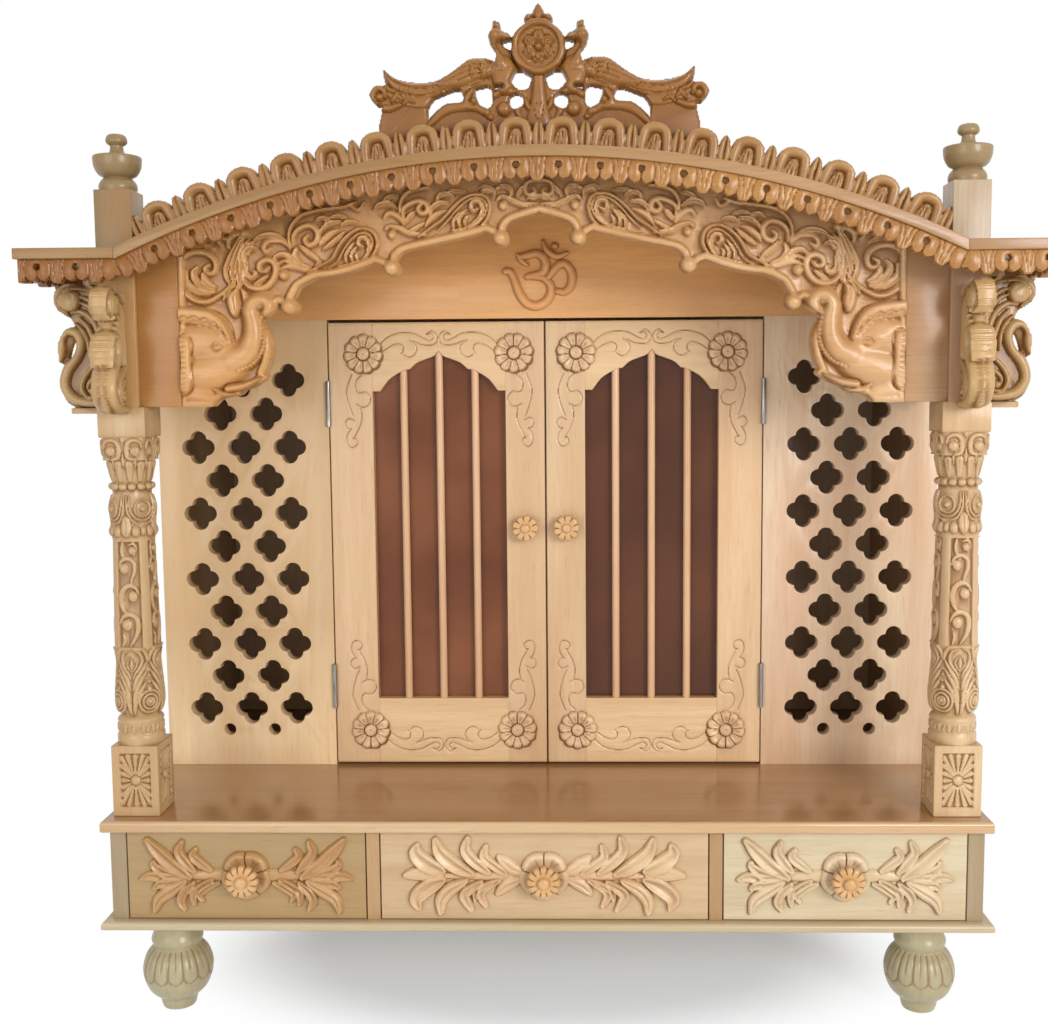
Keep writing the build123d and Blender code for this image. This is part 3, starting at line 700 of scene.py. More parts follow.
def greyRamp(tree, factor, start, first, end, last):
    return rampNode(tree, factor, [(start, (first,) * 3), (end, (last,) * 3)])


def makeGlass(side):
    # bronze tinted pane over the dark inside
    material, tree, surface = newMaterial(f"bronze glass {side}")
    smear = addNode(tree, "TexNoise", {"Vector": objectPlace(tree), "Scale": pane["smearSize"],
                                       "Detail": 3})["Fac"]
    deep, light = (hexColour(tone) for tone in pane["tones"][side])
    smooth, dull = pane["roughness"]
    setInputs(surface, {"Base Color": rampNode(tree, smear, [(0.35, deep), (0.65, light)]),
                        "Roughness": greyRamp(tree, smear, 0.3, smooth, 0.7, dull),
                        "Alpha": pane["alpha"], "Specular IOR Level": pane["specular"],
                        "Coat Weight": pane["coat"], "Coat Roughness": pane["coatRoughness"]})
    return material


def makeSteel():
    # brushed hinge steel
    material, tree, surface = newMaterial("brushed steel")
    stretch = addNode(tree, "Mapping", {"Vector": objectPlace(tree), "Scale": (1, 1, 0.05)})
    brush = addNode(tree, "TexNoise", {"Vector": stretch[0], "Scale": 900, "Detail": 3})["Fac"]
    tone = rampNode(tree, brush, [(0.3, (0.16, 0.15, 0.14)), (0.7, (0.42, 0.40, 0.38))])
    setInputs(surface, {"Base Color": tone, "Roughness": greyRamp(tree, brush, 0.3, 0.42, 0.7, 0.26),
                        "Metallic": 1.0})
    return material


# name, middle tone, grain and seed, and what else makeTeak takes
woods = {
    "doorStile": ("teak door stiles", "#dcbb93", "z", 1.0),
    "doorRail": ("teak door rails", "#e0c095", "x", 2.0),
    # the two jali are lit and shaded copies of one teak: painted shade on the left one, which darkens further
    # towards its top
    "jaliLeft": ("teak left jali", "#efd3a8", "z", 3.0, ("z", "#c5a57c", 0.30, 0.48)),
    "jaliRight": ("teak right jali", "#d9c3a2", "z", 4.0, None, "#c49170"),
    # painted light: the lintel is painted lighter, most of all along its top, against the roof's shade over
    # it
    "lintel": ("teak lintel", "#e2ab6f", "x", 5.0, ("z", "#fdbd72", 0.94, 1.0)),
    # painted shade on the shelf's top face
    "shelf": ("teak shelf", "#d0b087", "x", 6.0, None, None, 0.16, "#a4774b"),
    "base": ("teak base boards", "#a79577", "z", 7.0),
    "divider": ("teak dividers", "#b9966c", "z", 7.5),
    "rail": ("teak bottom board", "#cab998", "x", 8.0),
    # lit and shaded copies: painted shade on the left drawer front, painted light on the right
    "drawerLeft": ("teak left drawer front", "#b4986b", "x", 9.0),
    "drawerCentre": ("teak middle drawer front", "#cbaf89", "x", 9.4),
    "drawerRight": ("teak right drawer front", "#cfc0a0", "x", 9.7),
    # lit and shaded copies: painted shade on the left carving, painted light on the right
    "leavesLeft": ("carved leaves on the left drawer", "#c49c6a", "x", 10.0),
    "leavesCentre": ("carved leaves on the middle drawer", "#dabd95", "x", 10.4),
    "leavesRight": ("carved leaves on the right drawer", "#dcc9a6", "x", 10.7),
    "box": ("plain drawer boxes", "#cfae84", "y", 11.0),
    # paler towards the right, in this and the next two: painted light from the key lamp's side
    "apron": ("carved apron teak", "#c8955a", "x", 12.0, ("x", "#d3ae82", -0.55, 0.55)),
    "apronEnd": ("teak apron ends", "#b07c42", "x", 13.0, ("x", "#b08e6a", -0.5, 0.5)),
    "column": ("carved column teak", "#c3a477", "z", 14.0, ("x", "#d4b78e", -0.55, 0.55)),
    # lit and shaded copies: painted shade on the left post; both change tone at their upper ends, the left
    # one darker there in painted shade
    "postLeft": ("teak left post", "#c29a63", "z", 15.0, ("z", "#7c6b4b", 0.94, 0.97)),
    "postRight": ("teak right post", "#b28b68", "z", 15.5, ("z", "#b8aa90", 0.94, 0.97)),
    "bracket": ("carved bracket teak", "#be9c6a", "z", 16.0),
    # paler towards the right, in this and the roof: painted light from the key lamp's side
    "valance": ("carved valance teak", "#8e5a22", "x", 17.0, ("x", "#ba884a", -0.55, 0.55)),
    "roof": ("teak roof boards", "#94703f", "x", 18.0, ("x", "#b48c66", -0.55, 0.55)),
    # darker than the boards below, in this and the pediment: painted shade, as they stand farther from the
    # light
    "crest": ("carved crest teak", "#a8804e", "x", 19.0),
    "pediment": ("carved pediment teak", "#93642f", "x", 20.0),
    "om": ("carved sign teak", "#e0a468", "x", 21.0),
    "finial": ("turned finial teak", "#9a845e", "z", 22.0),
    "foot": ("turned foot teak", "#b3aa88", "z", 23.0),
    "knob": ("turned knob teak", "#d6ac78", "y", 24.0),
    "bar": ("teak door bars", "#dcb38c", "z", 25.0),
    "back": ("teak back board", "#e3ccac", "z", 25.5),
    "side": ("teak cabinet sides", "#cda97d", "z", 26.0),
}
wood = {key: makeTeak(*row) for key, row in woods.items()}
glass = {side: makeGlass(side) for side in sides}
steel = makeSteel()
print("materials made")

board = {
    "bevel": 0.9,  # millimetres
    "segments": 2,
    "cornerAngle": 35,  # degrees; flatter edges stay as they are
}


def softBoard(node, material, body):
    # the board as made, with its corners taken off by sandpaper
    def soften(work):
        bmesh.ops.remove_doubles(work, verts=work.verts, dist=2e-6)
        bmesh.ops.dissolve_limit(work, angle_limit=math.radians(0.5), verts=work.verts, edges=work.edges)
        least = math.radians(board["cornerAngle"])
        corners = [e for e in work.edges if len(e.link_faces) == 2 and e.calc_face_angle() > least]
        bmesh.ops.bevel(work, geom=corners, offset=board["bevel"] * mm, segments=board["segments"],
                        profile=0.6, affect="EDGES", clamp_overlap=True)

    mesh = nodes[node].data.copy()
    editMesh(mesh, soften)
    mesh.materials.clear()
    finishPiece(node + "_board", mesh, material, body, sharp=50, node=node, slot="board_teak")


boards = {
    "shelf": ["shelf_slab"],
    "rail": ["bottom_board", "base_back"],
    "base": ["base_side_left", "base_side_right"],
    "divider": ["base_dividers"],
    "lintel": ["lintel_board"],
    "side": ["cabinet_side_left", "cabinet_side_right"],
    "back": ["cabinet_back"],
    "box": ["side_beams"],
    "roof": ["roof_arch", "roof_wing_left", "roof_wing_right"],
    "apronEnd": ["apron_ends"],
    "postLeft": ["upper_post_left"],
    "postRight": ["upper_post_right"],
    "jaliLeft": ["jali_left"],
    "jaliRight": ["jali_right"],
}
for kind, group in boards.items():
    for node in group:
        softBoard(node, wood[kind], "root")
for side in ("left", "centre", "right"):
    softBoard(f"drawer_{side}_front", wood[f"drawer{side.capitalize()}"], f"drawer_{side}")
    softBoard(f"drawer_{side}_box", wood["box"], f"drawer_{side}")
print("boards softened")


# the roof's arc, shared by apron, valance and crest; millimetres
roof = {
    "archTop": 1084.0,
    "rise": 110.5,
    "halfSpan": 492.0,  # to the posts' inner faces
    "thickness": 12.5,
    "eaveBottom": 961.0,
    "back": 305.0,
}
roof["radius"] = (roof["halfSpan"] ** 2 + roof["rise"] ** 2) / (2 * roof["rise"])
roof["centre"] = roof["archTop"] - roof["radius"]
roof["under"] = roof["radius"] - roof["thickness"]


def onArc(along, inward, radius):
    # along the arc from its crown, and inward from it
    angle = along / radius
    return (radius - inward) * np.sin(angle), roof["centre"] + (radius - inward) * np.cos(angle)


def arcPlace(front, radius):
    # bends a sheet up along an arc; heights stand out of it to the front
    def place(x, z, height):
        px, pz = onArc(x, -z, radius)
        return np.column_stack([px, front - height, pz])
    return place


def frontPlace(front):
    # lays a sheet on a board that faces the front; heights stand out of it
    def place(x, z, height):
        return np.column_stack([x, front - height, z])
    return place


apron = {
    "ground": -227.5,  # y of the cut-back ground
    "back": -206.0,
    "bottom": 788.0,
    "half": 441.0,
    "grid": 1.25,
    "keep": 0.55,
    "groundDip": 0.5,
    "beadWidth": 9.0,
    "beadHeight": 7.0,
    "cusps": [(-305, 909.6), (-179, 954.9), (-46.4, 989.1)],
    "cuspRadius": 10.2,
}

# strokes and balls of the left half
apronStrokes = [
    # left roundel
    ("round", (2.2, 4.4, 2.7), 7.8, -377, 934, -389, 924, -406, 916, -423, 920, -436, 933, -440, 952,
     -434, 969, -419, 976, -404, 974, -394, 965, -394, 953, -402, 950, -407, 956, -402, 960),
    ("scoop", (1.4, 4.6, 2.4), 5.4, -397, 927, -409, 926, -422, 931, -431, 942, -430, 953),
    ("scoop", (1.4, 4.8, 2.4), 6.4, -396, 930, -406, 932, -417, 940, -421, 950, -417, 957),
    ("scoop", (1.4, 4.4, 2.6), 7.4, -394, 933, -401, 936, -408, 943, -409, 949),
    # top left
    ("blade", (6.2, 4.6, 1.6), 7.8, -360, 998, -369, 998, -376, 992, -378, 984, -375, 979),
    ("round", (3.2, 2.9, 1.9), 5.9, -376, 991, -385, 992, -389, 987, -385, 983),
    ("scoop", (1.4, 3.7, 1.6), 5.2, -395, 979, -404, 983, -417, 984, -429, 980),
    # fan
    ("scoop", (1.2, 4, 1.9), 7.8, -372, 930, -379, 942, -381, 953, -375, 968, -367, 983, -361, 993),
    ("scoop", (1.2, 4, 1.9), 9.1, -369, 930, -373, 946, -371, 961, -366, 976, -359, 991),
    ("scoop", (1.2, 3.5, 1.6), 7.8, -367, 930, -366, 944, -367, 957, -364, 968, -357, 986),
    ("scoop", (1.2, 3.7, 1.4), 7.8, -364, 932, -361, 944, -361, 957, -362, 968, -358, 979, -353, 989),
    ("scoop", (1.4, 4, 1.2), 7.8, -355, 959, -359, 968, -356, 976, -349, 980, -342, 978),
    ("scoop", (1.2, 3.2, 1.2), 6.5, -353, 972, -351, 983, -346, 988),
    # right scroll of the fan
    ("round", (2.2, 4.6, 2.7), 7.8, -361, 953, -360, 942, -351, 933, -337, 932, -326, 939, -320, 951,
     -322, 962, -330, 966, -339, 962, -340, 954, -333, 952, -329, 956),
    ("scoop", (1.6, 3.5, 1.9), 6.5, -356, 961, -357, 951, -351, 944, -345, 948, -348, 953),
    ("scoop", (1.6, 3.7, 1.6), 6.5, -347, 935, -339, 940, -331, 946),
    ("blade", (3.7, 4.1, 2.2), 7.2, -302, 982, -312, 989, -328, 989, -335, 982, -332, 975, -326, 979),
    ("scoop", (1.4, 4, 1.4), 5.9, -346, 990, -333, 995, -318, 994, -305, 984),
    ("scoop", (2.2, 4.1, 1.4), 7.2, -321, 968, -314, 972, -305, 970, -297, 962, -288, 957),
    ("round", (1.4, 2.4, 1.2), 5.9, -318, 961, -309, 964, -301, 960),
    # bud and drop
    ("blade", (1.6, 3.7, 1.4), 7.2, -316, 953, -308, 957, -296, 956, -281, 952, -268, 952),
    ("vein", (1.9, 8.4, 3.7), 10.4, -368, 929, -373, 921, -372, 910, -371, 900),
    ("scoop", (1.6, 3.5, 1.4), 6.5, -373, 935, -379, 929, -385, 918),
    ("scoop", (1.4, 3.2, 1.2), 5.9, -363, 930, -359, 923, -360, 916),
    # upper right scroll
    ("round", (1.6, 2.9, 1.9), 7.8, -302, 979, -303, 994, -299, 1007, -288, 1018, -273, 1023, -254, 1026,
     -236, 1028, -222, 1033),
    ("round", (1.9, 4.1, 2.7), 7.8, -298, 982, -297, 995, -288, 1004, -276, 1006, -268, 998, -270, 987,
     -279, 983, -284, 989, -280, 994),
    ("scoop", (1.6, 4.1, 1.9), 6.5, -295, 979, -297, 969, -291, 960, -278, 955),
    ("scoop", (1.4, 3.7, 1.4), 6.5, -290, 982, -282, 975, -271, 967, -266, 960),
    ("blade", (1.6, 4.6, 1.9), 7.2, -266, 982, -260, 990, -251, 997, -243, 1000),
    ("scoop", (1.4, 3.5, 1.4), 6.5, -262, 977, -253, 983, -243, 991, -235, 998),
    ("scoop", (1.4, 3.5, 1.4), 6.5, -265, 997, -260, 1004, -251, 1009, -240, 1010),
    ("scoop", (1.4, 3.2, 1.4), 6.5, -270, 1012, -262, 1015, -256, 1012, -259, 1006),
    ("scoop", (1.2, 2.9, 1.2), 6.5, -254, 1015, -243, 1017, -232, 1015),
    ("round", (2.4, 2.4, 1.4), 6.5, -230, 1031, -220, 1025, -215, 1026, -212, 1033),
    ("scoop", (1.2, 3.2, 1.2), 5.9, -240, 1006, -230, 1010, -219, 1009),
    ("scoop", (1.2, 2.7, 1.2), 5.9, -275, 949, -271, 956, -264, 965),
    # paisley
    ("round", (1.6, 2.2, 1.9), 8.5, -281, 950, -264, 959, -251, 967, -242, 982, -231, 994, -217, 1002,
     -204, 1000, -197, 992, -196, 980, -204, 967, -218, 958, -237, 952, -260, 949),
    ("round", (1.2, 1.6, 1.4), 6.5, -255, 956, -245, 963, -237, 976, -228, 988, -217, 996, -207, 995,
     -202, 987, -204, 976, -213, 965, -228, 960, -243, 957),
    ("scoop", (1.2, 2.7, 1.9), 7.8, -226, 962, -216, 963, -208, 971, -206, 982, -210, 990, -217, 990,
     -219, 983, -214, 980),
    ("scoop", (1, 2.4, 1.4), 7.2, -234, 961, -235, 968, -231, 976, -225, 984),
    ("scoop", (1, 2.4, 1.4), 7.2, -226, 962, -228, 968, -226, 974, -222, 979),
    ("scoop", (1, 2.2, 1.2), 6.5, -220, 963, -222, 969, -219, 974),
    # second scroll
    ("round", (1.6, 2.9, 1.9), 7.8, -168, 1021, -166, 1034, -158, 1044, -145, 1048, -132, 1050),
    ("round", (1.9, 4, 2.7), 7.8, -163, 1011, -164, 1023, -157, 1030, -145, 1034, -136, 1031, -134, 1022,
     -141, 1019, -146, 1024, -142, 1030),
    ("scoop", (1.6, 3.7, 1.6), 6.5, -161, 1008, -155, 1016, -151, 1021),
    ("blade", (1.6, 4.1, 1.6), 7.2, -137, 1003, -131, 1012, -123, 1018, -112, 1022),
    ("scoop", (1.4, 3.5, 1.4), 6.5, -132, 1017, -128, 1026, -120, 1031, -109, 1031),
    ("scoop", (1.4, 3.2, 1.4), 6.5, -123, 1033, -120, 1040, -112, 1042, -103, 1038),
    ("scoop", (1.2, 2.9, 1.2), 6.5, -110, 1045, -101, 1045, -88, 1044),
    ("scoop", (1.4, 3.7, 1.4), 6.5, -199, 1024, -192, 1030, -181, 1031, -171, 1025),
    ("blade", (1.9, 4, 1.6), 7.2, -187, 1014, -181, 1020, -171, 1016, -163, 1006),
    ("scoop", (1.4, 3.5, 1.4), 6.5, -186, 1000, -181, 1004, -170, 1002, -155, 995, -137, 994),
    ("scoop", (1.2, 3.2, 1.4), 5.9, -161, 996, -150, 1001, -139, 1008),
    ("scoop", (1.2, 3.2, 1.4), 5.9, -188, 1034, -180, 1039, -171, 1041),
    # second paisley
    ("round", (1.6, 2.2, 1.9), 8.5, -146, 991, -129, 1003, -116, 1012, -104, 1025, -91, 1036, -76, 1041,
     -63, 1037, -59, 1025, -63, 1011, -74, 1000, -89, 996, -105, 993, -126, 991),
    ("round", (1.2, 1.6, 1.4), 6.5, -122, 999, -109, 1011, -98, 1024, -85, 1034, -72, 1036, -64, 1029,
     -65, 1017, -75, 1006, -89, 1001, -105, 998),
    ("scoop", (1.2, 2.7, 1.9), 7.8, -87, 1002, -76, 1009, -69, 1019, -70, 1030, -78, 1032, -82, 1027,
     -79, 1021, -74, 1023),
    ("scoop", (1, 2.4, 1.4), 7.2, -103, 1000, -104, 1007, -99, 1015, -93, 1021),
    ("scoop", (1, 2.4, 1.4), 7.2, -95, 1001, -97, 1009, -93, 1017, -88, 1022),
    ("scoop", (1, 2.2, 1.2), 6.5, -88, 1003, -90, 1009, -86, 1016),
    # towards the middle
    ("scoop", (1.4, 3.5, 1.4), 6.5, -51, 1033, -44, 1038, -31, 1033, -18, 1028, -2, 1030),
    ("round", (1.6, 2.7, 1.9), 7.2, 2, 1056, -6, 1057, -15, 1053, -16, 1044, -11, 1040, -4, 1043, -6, 1048),
    ("scoop", (1.2, 3.2, 1.4), 6.5, -26, 1038, -22, 1045, -17, 1050),
    ("scoop", (1.2, 3.2, 1.4), 6.5, -34, 1038, -33, 1045, -38, 1050, -49, 1050),
    ("scoop", (1.2, 3.2, 1.4), 6.5, -13, 1036, -5, 1037, 2, 1039),
    ("scoop", (1.2, 3.2, 1.4), 6.5, -53, 1038, -55, 1045, -61, 1049, -71, 1050),
    ("scoop", (1.2, 2.9, 1.2), 5.9, -57, 1043, -62, 1045, -70, 1044),
]
apronBalls = [(-357.7, 998.3, 4.9, 7), (-310.5, 947.5, 6.5, 8), (-178, 994.4, 5.3, 7), (-43, 1027.7, 5.7, 7),
              (-49.4, 1048, 3.2, 5)]
elephant = {
    # forehead, cheek, jaw and the raised trunk: half widths, height, points
    "body": [
        ((20, 25, 17), 9.5, [(-434, 866), (-407, 868), (-386, 858)]),
        ((15, 24, 18), 11.5, [(-430, 826), (-402, 832), (-372, 842)]),
        ((8, 13, 7), 8.5, [(-434, 806), (-417, 804), (-400, 800)]),
        ((18, 12, 8.5), 13.5, [(-374, 845), (-358, 854), (-349, 871), (-348, 891), (-351, 906), (-345, 917),
                               (-334, 919), (-327, 912), (-330, 903)]),
    ],
    "soften": 2,  # grid cells over which the body's forms run together
    "ridge": [(-368, 831), (-350, 841), (-339, 857), (-336, 876), (-339, 896)],
    "ridgeStep": 5.2,
    "tusk": [(-382, 810.5), (-362, 814), (-341, 823.5)],
    "lip": [(-400, 810), (-389, 804.5), (-374, 802.5)],
    "ear": [(-434, 870), (-432.5, 845), (-434, 812)],
    "earEdge": [(-440, 874), (-427, 872), (-423.5, 860.5), (-426.5, 849), (-426, 838), (-424, 816),
                (-430, 804.5), (-440, 801)],
    "earTeeth": (810, 868, 6.4),  # from, to and apart
    "cloth": [(-440, 901), (-420, 899), (-404, 896), (-393, 889), (-385, 878), (-379, 867)],
    "waves": [(-440, 892), (-434, 895.5), (-428, 892.5), (-421, 895), (-414, 891), (-407, 892.5), (-401, 887),
              (-395, 887), (-391.5, 881), (-387, 879.5), (-385, 873.5), (-381.5, 871)],
    "edge": [(-440, 910.5), (-414, 908), (-396, 904), (-386, 898), (-377.5, 886), (-374, 868)],
    "lids": [[(-402, 860), (-397.5, 865.5), (-391, 865), (-387, 860.5)],
             [(-401, 858.5), (-395, 855.8), (-389, 858.5)]],
    "eye": (-394.8, 860.8, 2.8, 12.4),
    "trunkBall": (-340.3, 909.6, 4.6, 9.5),
}


def carveElephant(sheet):
    head = dict(sheet, height=np.zeros_like(sheet["height"]))
    for width, height, points in elephant["body"]:
        carve(head, points, width, height)
    soft, ground = blurred(head["height"], elephant["soften"]), sheet["height"]
    sheet["height"] = np.where(soft > 0.6, np.maximum(ground, soft), ground)
    for x, z in smoothPath(elephant["ridge"], elephant["ridgeStep"]):
        ball(sheet, x, z, 3.0, 11.0, moat=0.8)
    carve(sheet, elephant["cloth"], (10.5, 10.5, 5.0), 9.0, "flat", moat=1.0)
    carve(sheet, elephant["ear"], (7.5, 7.5, 7.5), 12.5, "flat", moat=1.2)
    for shift in (-1.0, 3.6):
        incise(sheet, [(x - shift * 0.3, z + shift) for x, z in elephant["waves"]], 1.5, 3.2)
    for points in [elephant["edge"], elephant["earEdge"]] + elephant["lids"]:
        incise(sheet, points, 1.5, 3.0)
    low, high, apart = elephant["earTeeth"]
    for z in np.arange(low, high, apart):
        incise(sheet, [(-440, z), (-433, z + 0.6)], 1.2, 2.6)
    carve(sheet, elephant["lip"], (1.6, 3.4, 1.6), 9.5, "round", moat=1.2)
    carve(sheet, elephant["tusk"], (5.0, 4.6, 0.8), (14.5, 13.0), "round", moat=1.8, moatDepth=3.0)
    ball(sheet, *elephant["eye"], moat=1.0)
    ball(sheet, *elephant["trunkBall"])


def apronOutline():
    low = chained([
        [(0, 231), (2, 230)],
        [(18, 226), (33, 221), (40, 214), (41, 207)],
        [(46, 192), (58, 206)],
        [(64, 209)],
        [(87, 203), (124, 195), (161, 187), (172, 180)],
        [(176, 158), (193, 171)],
        [(199, 173)],
        [(224, 164), (249, 158), (272, 155), (291, 146), (297, 138)],
        [(308, 118), (318, 126)],
        [(321, 118), (332, 110), (339, 104)],
        [(331, 88), (329, 72), (332, 55), (338, 41)],
        [(336, 35), (351, 25)],
        [(364, 20), (372, 14), (393, 10), (404, 0)],
        [(441, 0)],
    ])
    edge = [[(-x, z + apron["bottom"]) for x, z in run] for run in low]
    edge.append([edge[-1][-1], (-apron["half"], roofAt(apron["half"]))])
    steps = np.linspace(-apron["half"], 60, 60)
    crown = [(x, roofAt(x)) for x in steps]
    return np.vstack([outlineOf(edge), crown, [(60, 1019), (0, 1019)]])


def roofAt(x):
    return math.sqrt(roof["under"] ** 2 - x * x) + roof["centre"]


def buildApron():
    sheet = newSheet(-apron["half"] - 2.5, 0, 786, 1074, apron["grid"])
    cutOutline(sheet, [apronOutline()])
    x, z = np.meshgrid(sheet["x"], sheet["z"])
    for ballX, ballZ in apron["cusps"]:
        sheet["inside"] = np.maximum(sheet["inside"], apron["cuspRadius"] - np.hypot(x - ballX, z - ballZ))
    sheet["height"] -= apron["groundDip"]
    carveAll(sheet, apronStrokes, 1.1, 0.9)
    for spot in apronBalls:
        ball(sheet, *spot)
    # the smooth bead that follows the edge
    inside, half = sheet["inside"], apron["beadWidth"] / 2
    bead = apron["beadHeight"] * dome(unit(np.abs(inside - half) / half))
    rim = (inside < apron["beadWidth"]) & (inside > -2)
    sheet["height"] = np.where(rim, np.maximum(bead, np.where(inside < half, 4.5, 0)), sheet["height"])
    carveElephant(sheet)
    for ballX, ballZ in apron["cusps"]:
        ball(sheet, ballX, ballZ, apron["cuspRadius"], 12.0, moat=1.4)
    roundEdge(sheet, 1.6)
    smoothed(sheet)
    whole = mirrorSheet(sheet)
    sheetPiece("apron_carving", whole, frontPlace(apron["ground"]), apron["ground"] - apron["back"],
               hollowOf(whole), wood["apron"], keep=apron["keep"], node="arch_apron")


buildApron()
print("apron carved")


door = {
    "inner": 0.75,
    "outer": 301.5,
    "bottom": 276.5,
    "top": 900.5,
    "front": -18.5,
    "back": 1.5,
    "middle": 147.875,  # of the opening
    "half": 92.625,
    "openingBottom": 369.5,
    "spring": 805.5,
    "archHeight": 56.0,
    "rosetteSpread": 104.9,
    "rosetteTop": 857.4,
    "rosetteBottom": 323.4,
    "rosetteRadius": 27.5,
    "rosetteHeight": 5.2,
    "petals": 11,
    "grid": 1.25,
    "keep": 0.30,
    "cutWidth": 1.25,
    "cutDepth": 1.5,
}

# cuts from a rosette towards the middle of the rail, and down the stile; (x, z) from the rosette
railCuts = [
    [(23, 13), (35, 23.5), (52, 29), (71, 28), (84, 21.5), (93, 18.5), (98, 22), (95, 28), (89, 27)],
    [(89, 27), (96, 31.5), (103, 25.5), (102, 16), (95, 12), (82, 13), (69.5, 18)],
    [(28, 4), (37.5, 10.5), (48, 14), (55, 11.5), (56, 4.5), (52.5, 0.5)],
    [(65, 19), (73, 13), (74.5, 4.5), (69.5, -2.5), (62.5, -4.5), (56.5, -1)],
]
stileCuts = [
    [(-17, -28), (-23.5, -44), (-24.5, -56.5), (-20.5, -73.5), (-15, -87.5)],
    [(-14, -92), (-22, -89), (-27, -95), (-24.5, -102.5), (-19, -104)],
    [(-20, -104), (-24.5, -112), (-25.5, -120.5), (-22.5, -128), (-16, -129), (-10.5, -124), (-12.5, -117.5),
     (-17, -116.5)],
    [(-3, -29), (-10.5, -36), (-12, -47), (-7.5, -53.5), (2, -52.5), (8.5, -60), (6.5, -69.5), (-2, -73.5),
     (-10.5, -69.5)],
    [(-5, -75), (-3.5, -86.5), (-6.5, -99.5), (-13, -112), (-15, -116.5)],
]


def doorOpening():
    w, low, spring, h = door["half"], door["openingBottom"], door["spring"], door["archHeight"]
    half = chained([
        [(0, low), (w, low)],
        [(w, spring)],
        [(w - 10, spring)],
        [(w * 0.74, spring + h * 0.31), (w * 0.52, spring + h * 0.53)],
        [(w * 0.44, spring + h * 0.54)],
        [(w * 0.33, spring + h * 0.7), (w * 0.18, spring + h * 0.8)],
        [(w * 0.07, spring + h * 0.87), (0, spring + h)],
    ])
    other = [[(-x, z) for x, z in reversed(run)] for run in reversed(half)]
    return outlineOf(half + other) + np.array([door["middle"], 0])


def flipped(piece):
    # the same mesh on the other side of the temple
    mesh = piece.data.copy()
    mesh.transform(Matrix.Scale(-1, 4, (1, 0, 0)))
    mesh.flip_normals()
    return mesh


def buildDoors():
    sheet = newSheet(-0.5, 302.75, 275.25, 901.75, door["grid"])
    inner, outer, low, high, middle = (door[key] for key in ("inner", "outer", "bottom", "top", "middle"))
    frameLine = np.array([(inner, low), (outer, low), (outer, high), (inner, high)])
    cutOutline(sheet, [frameLine, doorOpening()])
    for across in (-1, 1):
        for level, up in ((door["rosetteTop"], 1), (door["rosetteBottom"], -1)):
            x = middle + across * door["rosetteSpread"]
            for cut in railCuts + stileCuts:
                points = [(x - across * dx, level + up * dz) for dx, dz in cut]
                incise(sheet, points, door["cutWidth"], door["cutDepth"])
            rosette(sheet, x, level, door["rosetteRadius"], door["petals"], door["rosetteHeight"], 8.5,
                    8 * across)
    for x in (middle - door["half"], middle + door["half"]):
        for start, end in ((low, door["openingBottom"]), (door["spring"], high)):
            incise(sheet, [(x, start), (x, end)], 0.9, 0.5)  # joints of rails and stiles
    roundEdge(sheet, 1.0)
    right = sheetPiece("door_right_carving", sheet, frontPlace(door["front"]), door["front"] - door["back"],
                       hollowOf(sheet, 2.2, 0.8), [wood["doorStile"], wood["doorRail"]], "door_right",
                       keep=door["keep"], node="door_right_frame", slot="board_teak")
    for face in right.data.polygons:
        face.material_index = int(abs(face.center.x / mm - middle) < door["half"])
    finishPiece("door_left_carving", flipped(right), [], "door_left", node="door_left_frame",
                slot="board_teak")


def turnedMesh(profile, count, petal=None, spacing=1.6):
    # turned on a lathe about Z from (radius, height) runs, then shaped by petal(angle, radius, height), which
    # also gives each point's painted shade
    line = np.vstack([outlineOf(profile, spacing), profile[-1][-1]])
    line[:, 0] = np.maximum(line[:, 0], 0.05)
    turn = np.linspace(0, 2 * math.pi, count, endpoint=False)
    angle, radius = np.meshgrid(turn, line[:, 0])
    height = np.repeat(line[:, 1][:, None], count, 1)
    shade = np.zeros_like(radius)
    if petal:
        radius, height, shade = petal(angle, radius, height)
    points = np.column_stack([(radius * np.cos(angle)).ravel(),
                              (radius * np.sin(angle)).ravel(), height.ravel()])
    index = np.arange(len(line) * count).reshape(len(line), count)
    following = np.roll(index, -1, axis=1)
    quads = np.column_stack([a.ravel() for a in (index[:-1], following[:-1], following[1:], index[1:])])
    caps = [index[0][::-1][None, :], index[-1][None, :]]
    return points, [quads] + caps, unit(shade).ravel()


forward = np.array(Matrix.Rotation(math.pi / 2, 3, "X")).T  # turns a lathe's axis to the front

knobs = {
    "door": {"radius": 18.5, "reach": 24.0, "petals": 9, "deep": 2.2},
    "drawer": {"radius": 21.0, "reach": 34.0, "petals": 12, "deep": 2.0},
}


# a knob's outline, its radius and reach as shares of the whole
knobShape = chained([
    [(0.52, 0), (0.46, 0.22), (0.60, 0.42)],
    [(0.95, 0.56), (1, 0.68), (0.93, 0.80), (0.66, 0.86), (0.36, 0.80)],
    [(0.33, 0.93), (0.2, 0.99), (0, 1)],
])


def scaled(shape, radius, height):
    return [[(radius * across, height * up) for across, up in run] for run in shape]


